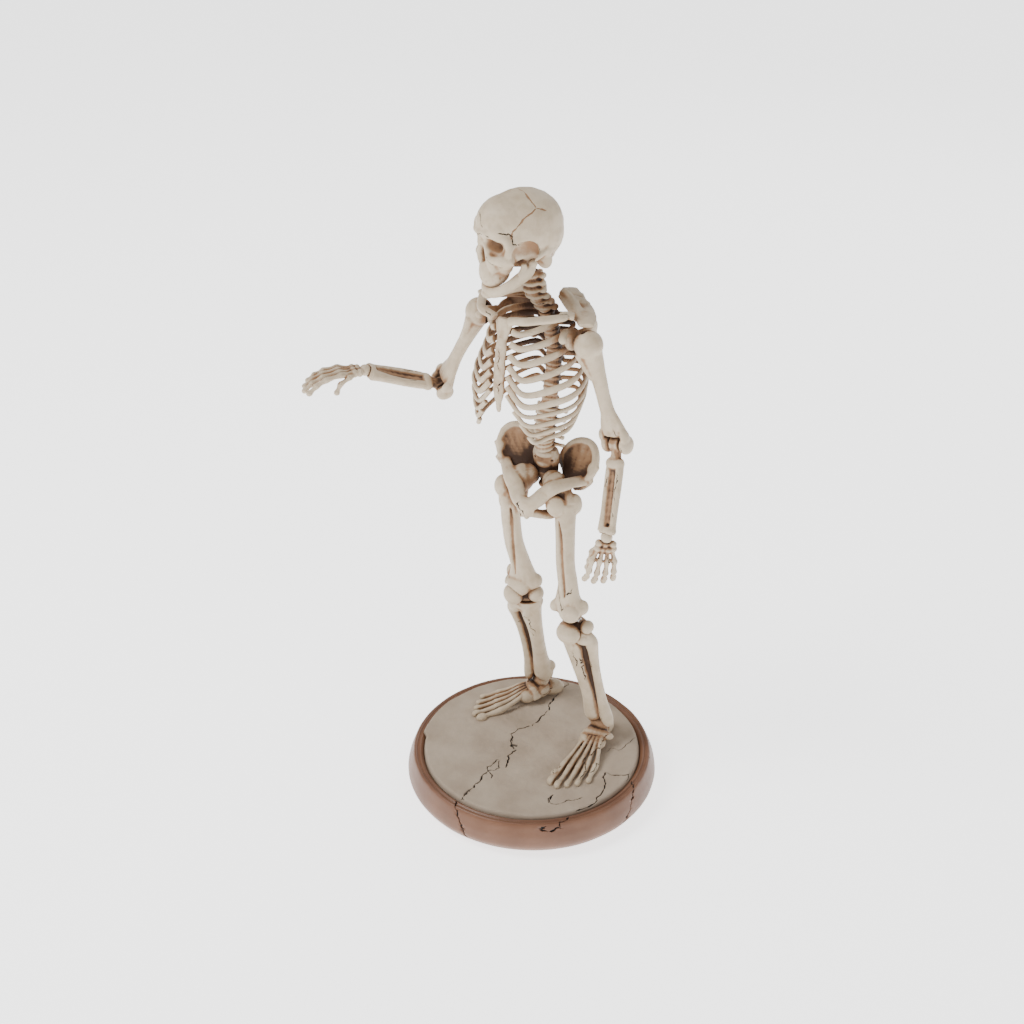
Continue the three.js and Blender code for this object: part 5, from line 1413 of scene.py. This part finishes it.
# ---- Hands ----
# One casting each: a cluster of wrist bones around the socket, long palm bones with gaps between
# them, then fingers and a thumb with swollen joints. Both hang half closed.

HAND_LENGTH = 29.0
HANDS = {  # direction of the fingers, direction across, side of the palm, bend of fingers and thumb
    "left": ((-1, -2, -23), (0.766, 0.643, 0), 1, 16, 8),
    "right": ((-15, -25, 3), (-0.86, 0.51, 0), -1, 15, 34),
}

for side, name in ((1, "left"), (-1, "right")):
    wrist = arms[name][2]
    aim, across, palm, bend, thumb_bend = HANDS[name]
    place = bone_frame(wrist, wrist + Vector(aim), Vector(across))
    knuckles = -HAND_LENGTH * 0.4

    def finger(start, first, lengths, turn, spread):
        places = [start, first]
        angle = 0
        for length in lengths:
            angle += turn
            x, y, z = places[-1]
            places.append((x + spread * length, y + palm * sin(angle) * length, z - cos(angle) * length))
        return places

    def digit(bm, places, thick):
        for a, b in zip(places, places[1:]):
            middle = (Vector(a) + Vector(b)) / 2
            quarter = [Vector(a).lerp(Vector(b), t) for t in (0.22, 0.78)]
            limb(bm, [(*a, thick * 1.1, thick * 1.15), (*quarter[0], thick * 0.88, thick * 0.9),
                (*middle, thick * 0.68, thick * 0.72),
                      (*quarter[1], thick * 0.86, thick * 0.9), (*b, thick * 1.08, thick * 1.12)],
                      up=(0.2, palm, 0.1), steps=2, sides=10)

    def hand(bm):
        for k, (x, z) in enumerate(((-2.6, -3.0), (0, -3.6), (2.7, -3.0), (-2.9, -5.4), (-0.9, -5.8),
            (1.2, -5.8), (3.1, -5.2))):
            lump(bm, (x * 1.1, 0.3 * sin(k * 2), z), (1.75, 1.9, 1.6))
        for i, share in enumerate((0.95, 1, 0.94, 0.82)):
            across_by = i - 1.5
            bones_long = [part * share * HAND_LENGTH for part in (0.26, 0.18, 0.16)]
            places = finger((across_by * 1.9, 0, -5.6),
                (across_by * 3.15, 0, knuckles - 0.4 * (1 - abs(across_by))), bones_long, radians(bend),
                across_by * 0.06)
            digit(bm, places, 1.36)
            lump(bm, places[-1], (1.25, 1.25, 1.4))
        thumb = finger((-2.8, 0, -3.6), (-5.4, palm, -8), [5, 4], radians(thumb_bend), -0.1)
        digit(bm, thumb, 1.3)
        lump(bm, thumb[-1], (1.3, 1.3, 1.4))

    def hand_room(bm):
        lump(bm, (0, 0, 0), (2.95, 2.95, 2.95))

    hand_mesh = cast(place, hand, hand_room, voxel=0.25, relax=2, ripple=0.1)
    ways = [[(1.4, -palm * 2, -7), (1.2, -palm * 2, -10)], [(-3, -palm * 2, -9), (-3.6, -palm * 2, -12)],
        [(3.6, -palm * 2, -8), (4.2, -palm * 2, -13)]]
    crack_bone(hand_mesh, place, ways, 0.16, 0.4, 121)
    bone(f"{name}_hand_bone", hand_mesh, f"{name}_palm", [f"{name}_hand"], 0.08)

# ---- Wash and painted shade ----
# A brown wash stays in the grooves of each bone. Painted shade darkens it further in broad hollows,
# wherever bones stand close together, as in the chest and pelvis, and on faces turned into the chest.

FINE, BROAD = 14, 110  # passes of smoothing that find grooves and broad hollows
CELL = 1.2 * MM
CHEST_AXIS = np.array((body_x, 9.0)) * MM


def blurred(values, edges, passes):
    """Values at vertices, averaged along the edges that many times."""
    count = np.bincount(edges.ravel(), minlength=len(values))[:, None].clip(1)
    for _ in range(passes):
        total = np.zeros_like(values)
        for k in range(values.shape[1]):
            total[:, k] = np.bincount(edges[:, 0], values[edges[:, 1], k], len(values))
            total[:, k] += np.bincount(edges[:, 1], values[edges[:, 0], k], len(values))
        values = values * 0.5 + total / count * 0.5
    return values


skins = {}
for name, (mesh, *_) in bones.items():
    points = np.empty(len(mesh.vertices) * 3)
    mesh.vertices.foreach_get("co", points)
    outward = np.empty(len(mesh.vertices) * 3)
    mesh.vertices.foreach_get("normal", outward)
    edges = np.empty(len(mesh.edges) * 2, np.int32)
    mesh.edges.foreach_get("vertices", edges)
    skins[name] = (points.reshape(-1, 3), outward.reshape(-1, 3), edges.reshape(-1, 2))

# How crowded each place is with bone, for painted shade between bones.
every = np.vstack([points for points, _, _ in skins.values()])
corner = every.min(0) - 12 * CELL
shape = np.ceil((every.max(0) + 12 * CELL - corner) / CELL).astype(int)
crowd_shade = np.zeros(shape)
for points, _, _ in skins.values():
    cells = ((points - corner) / CELL).astype(int)
    here = np.zeros(shape, bool)
    here[tuple(cells.T)] = True
    crowd_shade += here
for axis in range(3):
    for _ in range(2):
        total = np.cumsum(np.pad(crowd_shade, [(4, 3) if k == axis else (0, 0) for k in range(3)]), axis)
        ahead = np.take(total, range(7, total.shape[axis]), axis)
        behind = np.take(total, range(0, total.shape[axis] - 7), axis)
        crowd_shade = (ahead - behind) / 7
for name, (mesh, stain_and_shade_base, strength, inside) in bones.items():
    points, outward, edges = skins[name]
    fine = blurred(points, edges, FINE)
    broad = blurred(fine, edges, BROAD)
    groove = ((fine - points) * outward).sum(1) / MM
    hollow = ((broad - points) * outward).sum(1) / MM
    ahead = points + outward * 2.6 * MM
    cells = ((ahead - corner) / CELL).astype(int)
    near = crowd_shade[tuple(cells.T)]
    # Wash in the fine grooves; the broad hollow term is painted shade.
    wash_and_shade_amount = groove.clip(-0.08, 0.3) * 2.6 + hollow.clip(-0.22, 1.2) * 0.6
    # Painted shade where other bones crowd close in front of this face.
    wash_and_shade_amount = stain_and_shade_base + strength * (wash_and_shade_amount + (near - 0.11).clip(0, 0.4) * 3.6)
    # Painted shade on faces turned to the middle of the chest.
    to_axis = CHEST_AXIS - points[:, :2]
    to_axis /= np.linalg.norm(to_axis, axis=1)[:, None]
    wash_and_shade_amount += inside * (0.25 + (to_axis * outward[:, :2]).sum(1)).clip(0, 1)
    if mesh.attributes.get("seam"):
        seam = np.empty(len(points))
        mesh.attributes["seam"].data.foreach_get("value", seam)
        wash_and_shade_amount += 0.5 * seam
    layer = mesh.attributes.get("wash_and_shade") or mesh.attributes.new("wash_and_shade", "FLOAT", "POINT")
    wash_and_shade_amount = blurred(wash_and_shade_amount[:, None], edges, 2)[:, 0]
    layer.data.foreach_set("value", wash_and_shade_amount.clip(0, 1.5).astype(np.float32))
    if not mesh.attributes.get("crack"):
        mesh.attributes.new("crack", "FLOAT", "POINT")
